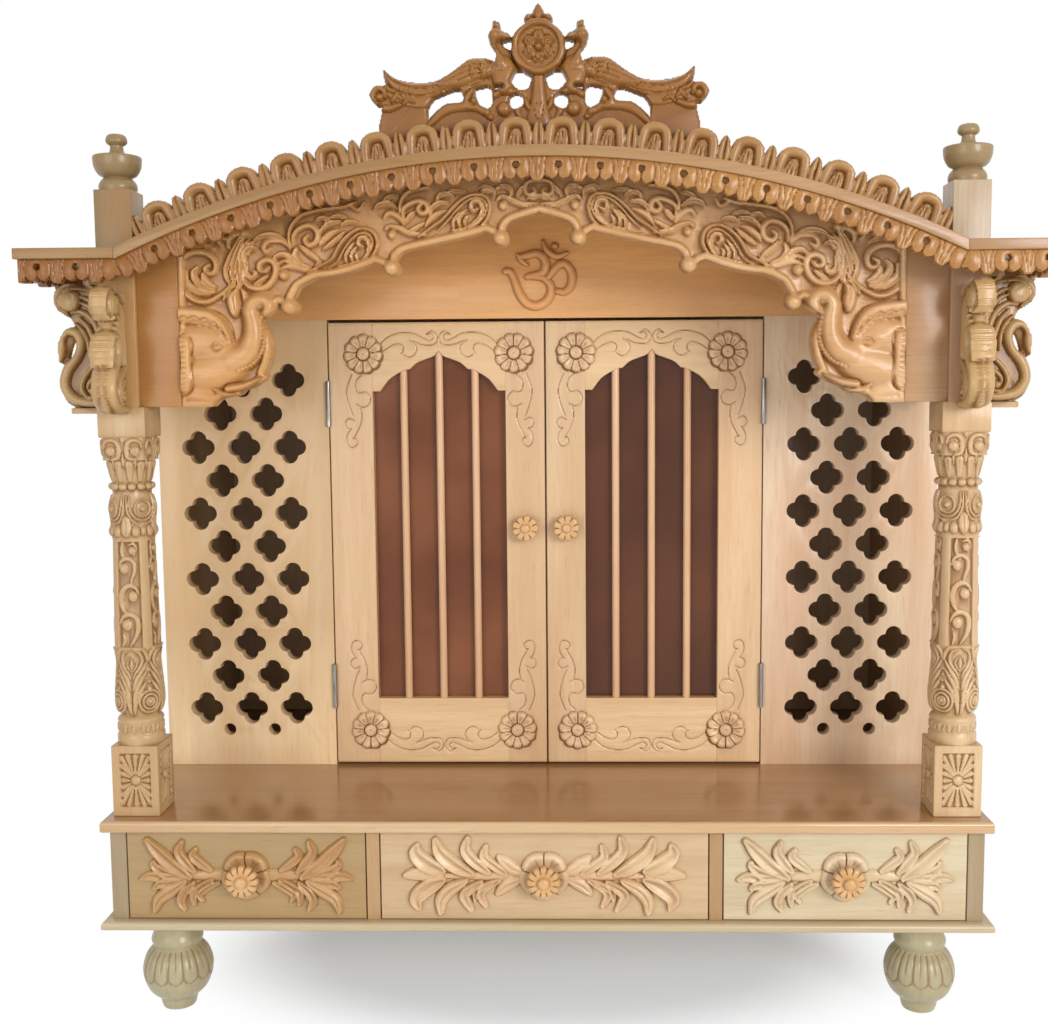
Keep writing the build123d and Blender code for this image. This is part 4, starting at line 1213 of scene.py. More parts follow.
def flowerKnob(name, kind, place, body, node):
    size = knobs[kind]
    r, reach, petals = size["radius"], size["reach"], size["petals"]

    def petal(angle, radius, height):
        middle = np.abs(np.cos(petals * angle / 2))
        outer = unit((radius / r - 0.42) / 0.3)
        gap = bell(middle * radius * math.pi / petals / 1.1)
        shrink = 1 - outer * (0.13 * (1 - middle) ** 1.5 + 0.03 * gap)
        face = unit((height / reach - 0.6) / 0.15)
        spoon = 0.9 * bell((radius / r - 0.62) / 0.14) * face * middle
        dip = face * outer * gap * size["deep"]
        # the third value is painted shade, in the gaps between petals and down the knob's sides
        return radius * shrink, height - dip - spoon, outer * gap * 0.8 + 0.25 * (1 - face) * outer

    points, faces, shade = turnedMesh(scaled(knobShape, r, reach), petals * 12, petal)
    mesh = fillMesh(name, points @ forward + np.array(place), faces, shade)
    finishPiece(name, mesh, wood["knob"], body, node=node)


def buildKnobs():
    for side, sign in sides.items():
        flowerKnob(f"door_{side}_flower_knob", "door", (sign * 28.75, door["front"], 614.5), f"door_{side}",
                   f"door_{side}_knob")


drawer = {
    "front": -243.5,
    "middles": {"left": -375.75, "centre": 0.0, "right": 375.75},
    "level": 199.25,
    "flowerRadius": 33.0,
    "flowerHeight": 9.0,
    "flowerPetals": 5,
    "grid": 1.0,
    "keep": 0.55,
}

# strokes of the leaf carvings' left half, from the drawer's middle
sideLeaves = [
    ("round", (8.5, 6.8, 3.5), 4.5, -30, 0, -60, 0, -86, 1),
    ("scoop", (3.7, 9.7, 3.4), 8, -71, -2, -92, 12.5, -109, 29, -124.5, 46.5),
    ("scoop", (3.1, 6.8, 3.5), 7.5, -65, 5, -77.5, 19, -84.5, 31.5, -80.5, 43),
    ("scoop", (3.1, 6.2, 3.2), 7, -44, 7, -58.5, 17, -67, 26, -63, 34),
    ("scoop", (2.7, 7.4, 3.8), 6.5, -79, -2, -98, 0, -115, 11.5, -117, 17),
    ("scoop", (2.7, 7.4, 3.4), 6, -84, -4, -104, -3, -122, -1, -132, -4),
    ("scoop", (2.7, 7, 3.6), 6.5, -79, -6, -98, -8.5, -113, -13, -116, -16),
    ("vein", (3.7, 9.5, 3.4), 8, -77, -8, -94, -19, -111, -31, -117, -46.5),
    ("scoop", (3.1, 6.2, 3.2), 7.5, -67, -10, -79.5, -23, -83.5, -33.5, -79, -43.5),
    ("scoop", (3.1, 5.7, 2.9), 7, -43, -6, -56.5, -14.5, -67, -23, -66.5, -37.5),
    ("scoop", (2.7, 5.1, 2.7), 6.5, -34.5, -9.5, -49, -16.5, -59.5, -25, -56, -33.5),
]
centreLeaves = [
    ("round", (8.5, 6.2, 3.2), 4.5, -24, 0, -80, 0, -132, 0),
    ("flat", (3, 10, 4), 6.5, -128, 1, -155, 3, -174, 1),
    ("scoop", (3.7, 11.6, 3.4), 8, -126, 6.5, -147.5, 16, -160.5, 29, -159, 40),
    ("scoop", (3.7, 11.6, 3.4), 8, -126, -5, -147.5, -16, -160.5, -29, -157.5, -42),
    ("scoop", (3.7, 10.5, 3.4), 8, -89.5, 2.5, -110.5, 13, -129, 29, -136, 47.5),
    ("scoop", (3.1, 7.8, 3.4), 7.5, -68.5, 4, -87, 18.5, -98, 33, -95.5, 49),
    ("scoop", (2.7, 6.5, 3.4), 7, -47.5, 2.5, -62, 13, -75, 25, -72.5, 38.5),
    ("vein", (3.4, 9.5, 3.4), 6.5, -26, 4, -42, 12, -56.5, 25),
    ("vein", (3.7, 9.7, 5), 8, -97.5, -6.5, -118.5, -18.5, -129, -31.5, -130, -47),
    ("scoop", (3.1, 7, 3.6), 7.5, -79, -8, -99, -22.5, -97.5, -33, -91, -43.5),
    ("scoop", (2.4, 4.6, 2.4), 6.5, -63, -6.5, -84, -19.5, -87, -31.5),
    ("scoop", (2.7, 6.2, 3.2), 7, -55.5, -5.5, -75, -16, -79, -26.5, -73, -39),
    ("vein", (3.4, 8.9, 3.4), 6.5, -29, -4, -47.5, -13, -58.5, -23),
]


def carveLeaves(leaves, reach):
    sheet = newSheet(-reach, 0, -54, 54, drawer["grid"])
    carveAll(sheet, leaves, 1.0, 1.6)
    smoothed(sheet)
    onlyStrokes(sheet, 0.7)
    return mirrorSheet(sheet)


def carveFlower():
    # the flower behind each knob, with two short cuts in every petal
    flower = newSheet(-36, 36, -36, 36, drawer["grid"])
    rosette(flower, 0, 0, drawer["flowerRadius"], drawer["flowerPetals"], drawer["flowerHeight"], 9, 18, 0.42)
    for number in range(drawer["flowerPetals"]):
        angle = math.radians(72 * number + 72 - 18)
        for lean in (-0.22, 0.22):
            spots = [(r, angle + lean * r / 30) for r in (13, 20, 27)]
            incise(flower, [(r * math.cos(a), r * math.sin(a)) for r, a in spots], 0.9, 0.9)
    onlyStrokes(flower, 0.7)
    return flower


def buildDrawers():
    flower, small, large = carveFlower(), carveLeaves(sideLeaves, 138), carveLeaves(centreLeaves, 182)
    for side, middle in drawer["middles"].items():
        body = f"drawer_{side}"
        for part, sheet in (("leaves", large if side == "centre" else small), ("petals", flower)):
            sheetPiece(f"{body}_{part}", movedSheet(sheet, middle, drawer["level"]),
                       frontPlace(drawer["front"]), -1.0, hollowOf(sheet, 2.6, 0.5),
                       wood[f"leaves{side.capitalize()}"], body, keep=drawer["keep"])
        flowerKnob(f"{body}_flower_knob", "drawer", (middle, drawer["front"], drawer["level"]), body,
                   f"{body}_knob")


buildDoors()
buildKnobs()
buildDrawers()
print("doors and drawers carved")


def tileRound(sheet):
    # a quarter's carving, repeated all the way round
    x = sheet["x"]
    width = x[-1] - x[0]
    around = dict(sheet, x=np.concatenate([x[:-1] + width * n for n in range(4)] + [x[-1:] + width * 3]))
    for key in ("height", "inside"):
        around[key] = np.concatenate([sheet[key][:, :-1]] * 4 + [sheet[key][:, -1:]], axis=1)
    return around


def turnedPlace(line, quarter, square):
    # wraps a sheet round a turned shape whose radius is given by height; square(z) fills out its four corners
    def place(x, z, height):
        angle = x / quarter * math.pi / 4
        radius = np.interp(z, line[:, 1], line[:, 0])
        radius = radius * (1 + square(z) * (np.sin(2 * angle) ** 2 - 0.35)) + height
        return np.column_stack([radius * np.sin(angle), -radius * np.cos(angle), z])
    return place


def squarePlace(half, corner):
    # wraps a sheet round a square post; each face is two halves wide
    def place(x, z, height):
        face = np.floor((x + half) / (2 * half))
        along = x - face * 2 * half
        turn = face * math.pi / 2
        over = unit((np.abs(along) - (half - corner)) / corner) * math.pi / 4
        sign, sine = np.sign(along), np.sin(over)
        a = np.where(over > 0, sign * (half - corner + corner * sine), along) + sign * height * sine
        b = half - corner + (corner + height) * np.cos(over)
        return np.column_stack([a * np.cos(turn) + b * np.sin(turn), a * np.sin(turn) - b * np.cos(turn), z])
    return place


def sewMesh(name, skins):
    # several skins as one mesh, sewn at their seams and closed at their ends
    points, faces, shades, start = [], [], [], 0
    for skinPoints, skinFaces, skinShades in skins:
        points.append(skinPoints)
        faces += [one + start for one in skinFaces]
        shades.append(skinShades)
        start += len(skinPoints)
    mesh = fillMesh(name, np.vstack(points), faces, np.concatenate(shades))

    def sew(work):
        bmesh.ops.remove_doubles(work, verts=work.verts, dist=0.02 * mm)
        bmesh.ops.holes_fill(work, edges=looseEdges(work), sides=0)
        bmesh.ops.recalc_face_normals(work, faces=work.faces)

    editMesh(mesh, sew)
    return mesh


def movedSkin(skin, place):
    return skin[0] + np.array(place), skin[1], skin[2]


column = {
    "middle": 514.5,
    "depth": -209.5,
    "half": 29.5,
    "bottom": 273.0,
    "plinthTop": 364.0,
    "capBottom": 723.0,
    "capTop": 751.0,
    "top": 788.0,
    "quarter": 22.0,  # half of a quarter of the way round, along the wood
    "panel": (487.0, 625.0),
    "panelDepth": 2.6,
    "beads": 14,
    "grid": 1.0,
    "keep": 0.42,
}
shaftProfile = chained([
    [(28.4, 363.6), (29.2, 369), (28.9, 375)],
    [(27.4, 377.5)],
    [(27.4, 391)],
    [(28.4, 394), (26.6, 397.5)],
    [(22.4, 400.5)],
    [(26.6, 408), (28.0, 421), (27.0, 438), (25.6, 458), (25.2, 470), (26.6, 482)],
    [(27.4, 487)],
    [(24.6, 623)],
    [(25.8, 626)],
    [(27.0, 634), (25.2, 645), (27.0, 660), (26.4, 670), (23.4, 680)],
    [(23.4, 699)],
    [(24.2, 701), (25.2, 709), (26.6, 718), (27.2, 723.4)],
])

# one quarter of the shaft: points as distance round the wood from the quarter's middle, and height
vaseLeaves = [
    ((1.3, 3.6, 0.9), 3.0, [(-2.0, 403), (-4.5, 420), (-10.5, 433), (-19, 446)]),
    ((1.2, 3.3, 0.9), 2.9, [(-1.9, 419), (-5.5, 435), (-11.5, 447), (-19.5, 459)]),
    ((1.2, 3.1, 0.9), 2.8, [(-1.8, 434), (-5.5, 447), (-12, 457), (-20, 470)]),
    ((1.0, 2.3, 0.8), 2.6, [(-1.6, 448), (-5, 456), (-10.5, 463), (-14, 471), (-10.5, 481), (-1, 486)]),
    ((0.9, 1.5, 0.8), 2.2, [(-0.6, 457), (-6.8, 467), (-0.6, 477)]),
    ((1.0, 2.8, 1.2), 2.6, [(-21, 470), (-19.5, 478), (-14.5, 487)]),
]
bulbLeaves = [
    ((1.1, 1.8, 1.1), 2.4, [(-1.6, 679), (-1.8, 668), (-3.5, 656), (-9, 647), (-17, 643.5)]),
    ((1.0, 1.6, 1.0), 2.3, [(-5.0, 679), (-5.2, 667), (-8, 656), (-14, 650), (-22, 648)]),
    ((1.0, 1.6, 1.0), 2.3, [(-22, 674.5), (-14.5, 670.5), (-11.8, 662), (-15, 655), (-22, 652.5)]),
]
vine = [
    ((1.6, 2.8, 1.8), 3.4, [(-8, 621), (-9.5, 610), (-6.5, 601.5), (0.5, 599.5)]),
    ((1.2, 2.4, 1.6), 3.0, [(0.5, 617), (8, 619), (11.5, 612), (8, 604.5)]),
    ((1.8, 3.4, 1.8), 3.6, [(-14, 589), (-10, 597.5), (-1, 600.5), (7.5, 595.5), (8.5, 585), (4.5, 575),
                            (2.5, 567)]),
    ((1.8, 4.0, 1.9), 3.8, [(12.5, 556.5), (8, 564.5), (-1, 566.5), (-9.5, 560.5), (-12, 549), (-9.5, 538),
                            (-3.5, 530)]),
    ((1.8, 4.0, 1.2), 3.8, [(-13.5, 519), (-9, 527.5), (0, 530.5), (8.5, 525.5), (10.5, 514), (7.5, 502.5),
                            (-1, 490)]),
    ((1.0, 2.8, 1.0), 3.0, [(-10, 506), (-8, 498), (-11, 490)]),
]
vineBalls = [(5.5, 610.5, 5.6), (-6.5, 588, 7.0), (4.8, 553, 7.2), (-4.5, 517, 7.6)]


def bothSides(sheet, points, width, height, kind="round", moat=0.8, moatDepth=1.2):
    for sign in (1, -1):
        carve(sheet, [(sign * x, z) for x, z in points], width, height, kind, moat, moatDepth)


def carveShaft():
    q = column["quarter"]
    sheet = newSheet(-q, q, shaftProfile[0][0][1], column["capBottom"], column["grid"])
    for width, height, points in vaseLeaves + bulbLeaves:
        bothSides(sheet, points, width, height)
    for z, radius in ((436, 2.6), (444.5, 2.3), (452, 2.0), (458.5, 1.7)):
        bothSides(sheet, [(-q, z), (-q, z + 0.1)], radius, radius)
    for r in (13.2 - 4.4 * number for number in range(3)):
        arc = [(-q + r * math.cos(a), 419 + r * 1.08 * math.sin(a)) for a in np.linspace(-1.7, 1.7, 9)]
        bothSides(sheet, arc, 1.9, 2.8)
    for z in (419, 662.5):
        bothSides(sheet, [(-q, z), (-q, z + 0.1)], 3.4, 3.2)
    carve(sheet, [(0, 459), (0, 467), (0, 475)], (0.5, 2.6, 0.5), 2.0, "round", 0.8)
    carve(sheet, [(0, 653), (0, 642), (0, 628)], (1.0, 7.6, 1.0), 3.2, "vein", 1.0)
    bothSides(sheet, [(-12.5, 636), (-12.5, 633)], 5.2, 2.9)
    bothSides(sheet, [(-q, 637), (-q, 633)], 3.6, 2.6)

    low, high = column["panel"]
    x, z = np.meshgrid(sheet["x"], sheet["z"])
    ground = unit((16.2 - np.abs(x)) / 1.4) * unit((z - low - 1) / 1.5)
    ground = ground * unit((high - 3 - z) / 1.5)
    for width, height, points in vine:
        carve(sheet, points, width, height, "round", 0.8, 1.0)
    for ballX, ballZ, radius in vineBalls:
        ball(sheet, ballX, ballZ, radius, 4.4, 1.2)
    sheet["height"] -= column["panelDepth"] * ground

    for edge in (-q + 14.667 * number for number in range(3)):
        carve(sheet, [(edge, 699), (edge, 717.5)], (3.0, 5.6), (1.6, 3.2), "vein", 0.9, 1.0)
    bothSides(sheet, [(-q, 699), (-q, 717)], (3.0, 5.6), (1.6, 3.2), "vein", 0.9, 1.0)
    for edge in (-14.667, 0, 14.667):
        carve(sheet, [(edge, 713), (edge, 722.5)], (0.6, 2.6), 2.0, "round", 0.8, 0.8)
    sheet = tileRound(sheet)
    start, whole = sheet["x"][0], sheet["x"][-1] - sheet["x"][0]
    for number in range(column["beads"]):
        middle = start + (number + 0.5) * whole / column["beads"]
        carve(sheet, [(middle - 1.6, 690.2), (middle + 1.6, 690.2)], 4.5, 5.2)
    for number in range(column["beads"] * 2):
        middle = start + (number + 0.5) * whole / column["beads"] / 2
        upright = number % 2
        points = [(middle, 380.5), (middle, 388)] if upright else [(middle - 1.4, 381), (middle + 1.4, 387.5)]
        carve(sheet, points, 1.7 if upright else 1.2, 1.5)
    return sheet


def squareness(z):
    low, high = column["panel"]
    return 0.13 * unit((z - low + 6) / 8) * unit((high + 6 - z) / 8)


def carvePlinth():
    half, low, high = column["half"], column["bottom"], column["plinthTop"]
    sheet = newSheet(-half, half, low, high, 1.05)
    middle, wide, tall, petals = (low + high) / 2 + 0.5, 19.5, 35.0, 20
    # tips spaced evenly along the panel's edge, which starts at its upper left corner
    corners = np.cumsum([0, 2 * wide, 2 * tall, 2 * wide, 2 * tall])
    for number in range(petals):
        along = (number * corners[-1] / petals + wide) % corners[-1]
        x = np.interp(along, corners, (-wide, wide, wide, -wide, -wide))
        z = np.interp(along, corners, (tall, tall, -tall, -tall, tall))
        length = math.hypot(x, z)
        line = [(x * t, middle + z * t) for t in (6 / length, 1 - 4.2 / length)]
        carve(sheet, line, (1.0, 3.4), (2.2, 3.0), "vein", 0.5, 0.6)
    ball(sheet, 0, middle, 6.6, 4.6, 1.0)
    x, z = np.meshgrid(sheet["x"], sheet["z"])
    inset = np.minimum(wide - np.abs(x), tall - np.abs(z - middle))
    sheet["height"] = np.where(inset > 0, sheet["height"], 0) - 2.9 * unit(inset / 1.3)
    softEnds(sheet, 1.0)
    return tileRound(sheet)


def carveCap():
    half = column["half"] - 1.8
    sheet = newSheet(-half, half, column["capBottom"], column["capTop"], 1.0)
    z = column["capBottom"] + 13
    for sign in (1, -1):
        x = sign * 15.0
        arch = [(x - sign * 1.5, z - 12.5), (x - sign * 9, z - 9), (x - sign * 10.6, z + 1),
                (x - sign * 7, z + 9.5), (x, z + 12), (x + sign * 7.5, z + 9), (x + sign * 9.6, z + 2)]
        carve(sheet, arch, (2.2, 3.0, 1.6), 3.0, "round", 0.8)
        carve(sheet, swirl(x, z - 1, 7.4, 5.8, 90 + sign * 70, sign * 0.7), (1.6, 2.2, 1.2), 2.2)
        ball(sheet, x, z - 1.5, 6.4, 4.0, 1.2)
    carve(sheet, [(0, z + 14), (0, z + 8)], (3.6, 0.6), 2.4, "round", 0.6)
    carve(sheet, [(0, z - 12), (0, z - 5)], (2.0, 0.6), 2.2, "round", 0.6)
    return tileRound(sheet)


def buildColumns():
    half = column["half"]
    shaftLine = np.vstack([outlineOf(shaftProfile, 1.0), shaftProfile[-1][-1]])
    plinth, cap, shaft = carvePlinth(), carveCap(), carveShaft()
    capital = newSheet(-half, half, column["capTop"], column["top"], 3.0)
    softEnds(capital, 1.0)
    skins = [
        wrapSheet(plinth, squarePlace(half, 1.1), 2.2, 0.7),
        wrapSheet(shaft, turnedPlace(shaftLine, column["quarter"], squareness), 2.2, 0.85),
        wrapSheet(cap, squarePlace(half - 1.8, 9.0), 2.2, 0.75),
        wrapSheet(tileRound(capital), squarePlace(half, 1.1)),
    ]
    for side, sign in sides.items():
        place = (sign * column["middle"], column["depth"], 0)
        mesh = sewMesh(f"carved_column_{side}", [movedSkin(skin, place) for skin in skins])
        finishPiece(f"carved_column_{side}", mesh, wood["column"], keep=column["keep"], node=f"column_{side}")


foot = {
    "x": 487.0,
    "front": -183.0,
    "back": 229.5,
    "height": 130.0,
    "radius": 45.0,
    "neck": 30.0,
    "bulbTop": 83.2,
    "petals": 14,
    "petalEnd": 43.0,
    "petalDepth": 1.6,
    "count": 224,
}
finial = {"x": 514.5, "y": -216.5, "bottom": 1049.5, "height": 70.0, "radius": 29.0, "count": 64}


def buildFeet():
    r, neck, top = foot["radius"], foot["neck"], foot["bulbTop"]
    profile = chained([
        [(21, 0), (22.6, 5), (24.5, 13)],
        [(r * 0.85, 27), (r, 50), (r * 0.9, 70.5), (neck, top)],
        [(neck + 3, top + 9), (neck, top + 18)],
        [(neck, foot["height"])],
    ])

    def petal(angle, radius, height):
        # petals hang from the neck over the upper half of the bulb, each with a short vein
        span = 2 * math.pi / foot["petals"]
        across = np.abs((angle + span / 2) % span - span / 2) / (span / 2)
        low = unit((foot["petalEnd"] + 10 - height) / 10)
        edge = bell((across - np.sqrt(1 - low**2)) / 0.16) * (height > foot["petalEnd"] - 2)
        vein = bell(across / 0.12) * unit((height - 56) / 6) * 0.7
        cut = np.maximum(edge, vein) * unit((top - height) / 2)
        # the cuts are also painted in as shade
        return radius - foot["petalDepth"] * cut, height, cut * 0.75

    made = turnedMesh(profile, foot["count"], petal)
    for row in ("front", "back"):
        name = f"turned_feet_{row}"
        mesh = sewMesh(name, [movedSkin(made, (sign * foot["x"], foot[row], 0)) for sign in (-1, 1)])
        finishPiece(name, mesh, wood["foot"], sharp=50, node=f"feet_{row}")


finialShape = chained([
    [(0.76, 0), (0.79, 0.09), (0.72, 0.17), (0.56, 0.24)],
    [(0.80, 0.30), (0.96, 0.43), (1, 0.57)],
    [(0.98, 0.60), (0.93, 0.61)],
    [(0.42, 0.63)],
    [(0.30, 0.69), (0.27, 0.75), (0.27, 0.79)],
    [(0.41, 0.83), (0.44, 0.89), (0.34, 0.97), (0.04, 1)],
])


def buildFinials():
    made = turnedMesh(scaled(finialShape, finial["radius"], finial["height"]), finial["count"], spacing=1.8)
    skins = [movedSkin(made, (sign * finial["x"], finial["y"], finial["bottom"])) for sign in (-1, 1)]
    finishPiece("turned_finials", sewMesh("turned_finials", skins), wood["finial"], sharp=50, node="finials")


hinge = {"x": 302.25, "y": -21.8, "levels": (388.5, 788.5), "height": 63.0, "radius": 3.15, "knuckles": 5}


def buildHinges():
    # knuckles with fine gaps between them, over the plain pins
    step = hinge["height"] / hinge["knuckles"]
    r, runs = hinge["radius"], []
    for low in (number * step for number in range(hinge["knuckles"])):
        runs += [[(r, low + 0.35)], [(r, low + step - 0.35)], [(r - 0.5, low + step)]]
    runs.append([(r * 0.55, hinge["height"] + 0.6)])
    made = turnedMesh(chained(runs)[1:], 20, spacing=3.0)
    skins = [movedSkin(made, (sign * hinge["x"], hinge["y"], z - hinge["height"] / 2))
             for sign in (-1, 1) for z in hinge["levels"]]
    finishPiece("hinge_knuckles", sewMesh("hinge_knuckles", skins), steel, sharp=30, slot="hinge_steel")


def dressPlain():
    # solids that are plain on the real one too keep their mesh and get its finish
    plain = {"door_hinges": steel}
    for side in sides:
        plain[f"door_{side}_glass"] = glass[side]
        plain[f"door_{side}_bars"] = wood["bar"]
    for node, material in plain.items():
        mesh = nodes[node].data
        mesh.materials.clear()
        mesh.materials.append(material)


buildColumns()
buildFeet()
buildFinials()
buildHinges()
dressPlain()
print("columns, feet, finials and hinges made")


valance = {
    "front": -301.0,
    "back": -290.0,
    "drop": 28.0,
    "cell": 48.4,
    "wingStart": 492.0,
    "tip": 606.0,
    "hole": 3.8,
    "holeDepth": 8.7,
    "grid": 1.3,
    "keep": 0.34,
}
valance["arcLength"] = roof["under"] * math.asin(valance["wingStart"] / roof["under"])


def valanceCell(middle, half, parts="both"):
    # lower edge of one scallop, from pendant tip over the lobes beside the hole to the next tip
    d = -valance["drop"] / 28
    runs = chained([
        [(-half, 28), (-half + 5, 27), (-half + 8.6, 21.2)],
        [(-12.4, 22.6), (-6.6, 24.9), (-1.4, 22.6), (0, 20.4)],
        [(1.4, 22.6), (6.6, 24.9), (12.4, 22.6), (half - 8.6, 21.2)],
        [(half - 5, 27), (half, 28)],
    ])
    chosen = {"both": runs, "before": runs[:2], "after": runs[2:]}[parts]
    return [[(middle + s, depth * d) for s, depth in run] for run in chosen]


def valanceCuts(sheet, middle, half, signs=(-1, 1)):
    # grooves of one scallop: round the lobes, from the hole down, and the pendants' fine pairs
    height = sheet["height"]
    s = sheet["x"][None, :] - middle
    for sign in signs:
        lobe = unit(1 - ((s * sign - 7.4) / 7.6) ** 2) ** 0.5
        height += np.where((s * sign > 0) & (s * sign < half), 0.7 * lobe, 0)
        bud = unit(1 - ((s * sign - half) / (half - 14.6)) ** 2) ** 0.5
        height += np.where((s * sign > 14.6) & (s * sign <= half), 0.8 * bud, 0)
        incise(sheet, [(middle + sign * 12.6, 0), (middle + sign * 15.6, -9), (middle + sign * 15.2, -17),
                       (middle + sign * 13.2, -23)], 1.1, 1.7)
        incise(sheet, [(middle + sign * (half - 5.6), 0), (middle + sign * (half - 3.0), -10),
                       (middle + sign * (half - 1.7), -25)], (1.2, 0.7), (1.8, 1.0))
    if len(signs) == 2:
        incise(sheet, [(middle, -valance["holeDepth"] - 3), (middle, -valance["drop"] * 0.8)], 0.9, 1.8)


def valanceRow(sheet, middles, half):
    # whole scallops side by side: their lower edge and their holes
    runs, holes = [], []
    for middle in middles:
        runs += valanceCell(middle, half)
        holes.append(circleOf(middle, -valance["holeDepth"], valance["hole"], 20))
        valanceCuts(sheet, middle, half)
    return runs, holes


def valanceTop(runs, start, end):
    # closes a row of scallops along its straight upper edge
    return runs + [[runs[-1][-1], (end, 0)], [(end, 0), (start, 0)], [(start, 0), runs[0][0]]]


def carveArc():
    length = valance["arcLength"]
    cells = int(round(length / valance["cell"] - 0.5))
    pitch = length / (cells + 0.5)
    arc = newSheet(-length - 1, length + 1, -30, 0.01, valance["grid"])
    row, holes = valanceRow(arc, [(number + 0.5) * pitch for number in range(-cells, cells)], pitch / 2)
    runs = valanceCell(-length, pitch / 2, "after") + row + valanceCell(length, pitch / 2, "before")
    valanceCuts(arc, -length, pitch / 2, (1,))
    valanceCuts(arc, length, pitch / 2, (-1,))
    cutOutline(arc, [outlineOf(valanceTop(runs, -length, length))] + holes, 6)
    return arc


def carveWing():
    start, tip = valance["wingStart"], valance["tip"]
    cells = int(round((tip - start) / valance["cell"] - 0.5))
    pitch = (tip - start) / (cells + 0.5)
    wing = newSheet(start - 14, tip + 1, -30, 0.01, valance["grid"])
    valanceCuts(wing, start, pitch / 2, (1,))
    row, holes = valanceRow(wing, [start + number * pitch for number in range(1, cells + 1)], pitch / 2)
    runs = valanceCell(start, pitch / 2, "after") + row
    mitre = (start - 20.4 * math.sin(valance["arcLength"] / roof["under"]), -20.4)
    runs += [[runs[-1][-1], (tip, 0)], [(tip, 0), (start, 0)], [(start, 0), mitre], [mitre, (start, -20.4)]]
    cutOutline(wing, [outlineOf(runs)] + holes, 6)
    return wing


def buildValanceFront():
    front = valance["front"]

    def wingPlace(sign):
        return lambda x, z, height: np.column_stack([sign * x, front - height, roof["eaveBottom"] + z])

    arc, wing = carveArc(), carveWing()
    for name, sheet, place, node in (("valance_arc", arc, arcPlace(front, roof["under"]), "valance_front"),
                                     ("valance_wing_right", wing, wingPlace(1), None),
                                     ("valance_wing_left", wing, wingPlace(-1), None)):
        shade = hollowOf(sheet, 2.2, 0.6)
        if name != "valance_wing_left":  # the wings share one sheet
            roundEdge(sheet, 0.9)
        sheetPiece(name, sheet, place, front - valance["back"], shade, wood["valance"], keep=valance["keep"],
                   node=node)


def buildValanceSides():
    start, end = valance["back"], roof["back"]
    cells = round((end - start) / valance["cell"])
    pitch = (end - start) / cells
    sheet = newSheet(start - 1, end + 1, -30, 0.01, 1.5)
    runs, holes = valanceRow(sheet, [start + (number + 0.5) * pitch for number in range(cells)], pitch / 2)
    cutOutline(sheet, [outlineOf(valanceTop(runs, start, end))] + holes, 6)
    shade = hollowOf(sheet, 2.2, 0.75)
    roundEdge(sheet, 1.2)
    for side, sign in sides.items():
        def place(x, z, height, sign=sign):
            return np.column_stack([sign * (valance["tip"] + height), x, roof["eaveBottom"] + z])
        sheetPiece(f"valance_side_{side}", sheet, place, -11.0, shade, wood["valance"],
                   keep=valance["keep"] * 0.8, node="valance_sides" if side == "left" else None)


crest = {
    "front": -235.0,
    "back": -217.0,
    "height": 46.0,
    "cells": 18,
    "end": 18.5,  # part of a bud beside each post
    "hood": 0.355,  # half width of a hood, as a share of the pitch
    "grid": 1.25,
    "keep": 0.34,
}


def crestHood(sheet, m, half, h):
    # a rolled rim over a hollow, with a flat tongue that has three cuts
    low, high = m - half + 4, m + half - 4
    rim = [(low, 3), (low, h * 0.5), (m - half * 0.62, h * 0.82), (m, h * 0.91),
           (m + half * 0.62, h * 0.82), (high, h * 0.5), (high, 3)]
    carve(sheet, rim, (5.0, 8.2, 5.0), (5.0, 7.4, 5.0), "round", 0.7)
    carve(sheet, [(m - 2, 1), (m - 1, h * 0.34), (m + 1, h * 0.60)], (10.5, 9.5, 6.0),
          (3.4, 4.6), "flat", 1.0)
    for lean in (-5.4, 0, 5.4):
        incise(sheet, [(m + lean - 1, 2), (m + lean, h * 0.3), (m + lean * 0.7 + 1, h * 0.62)], 1.3, 2.4)


def crestBud(sheet, m, h):
    # two full petals side by side, one before the other
    for sign, tip in ((-1, 0.84), (1, 0.80)):
        carve(sheet, [(m + sign * 1.6, 2), (m + sign * 3.9, h * 0.45), (m + sign * 2.7, h * tip)],
              (2.4, 4.6, 3.6), (4.6, 7.0, 6.0), "round", 0.7)
    incise(sheet, [(m - 0.6, 4), (m + 0.4, h * 0.5), (m, h * 0.9)], 0.9, 2.2)


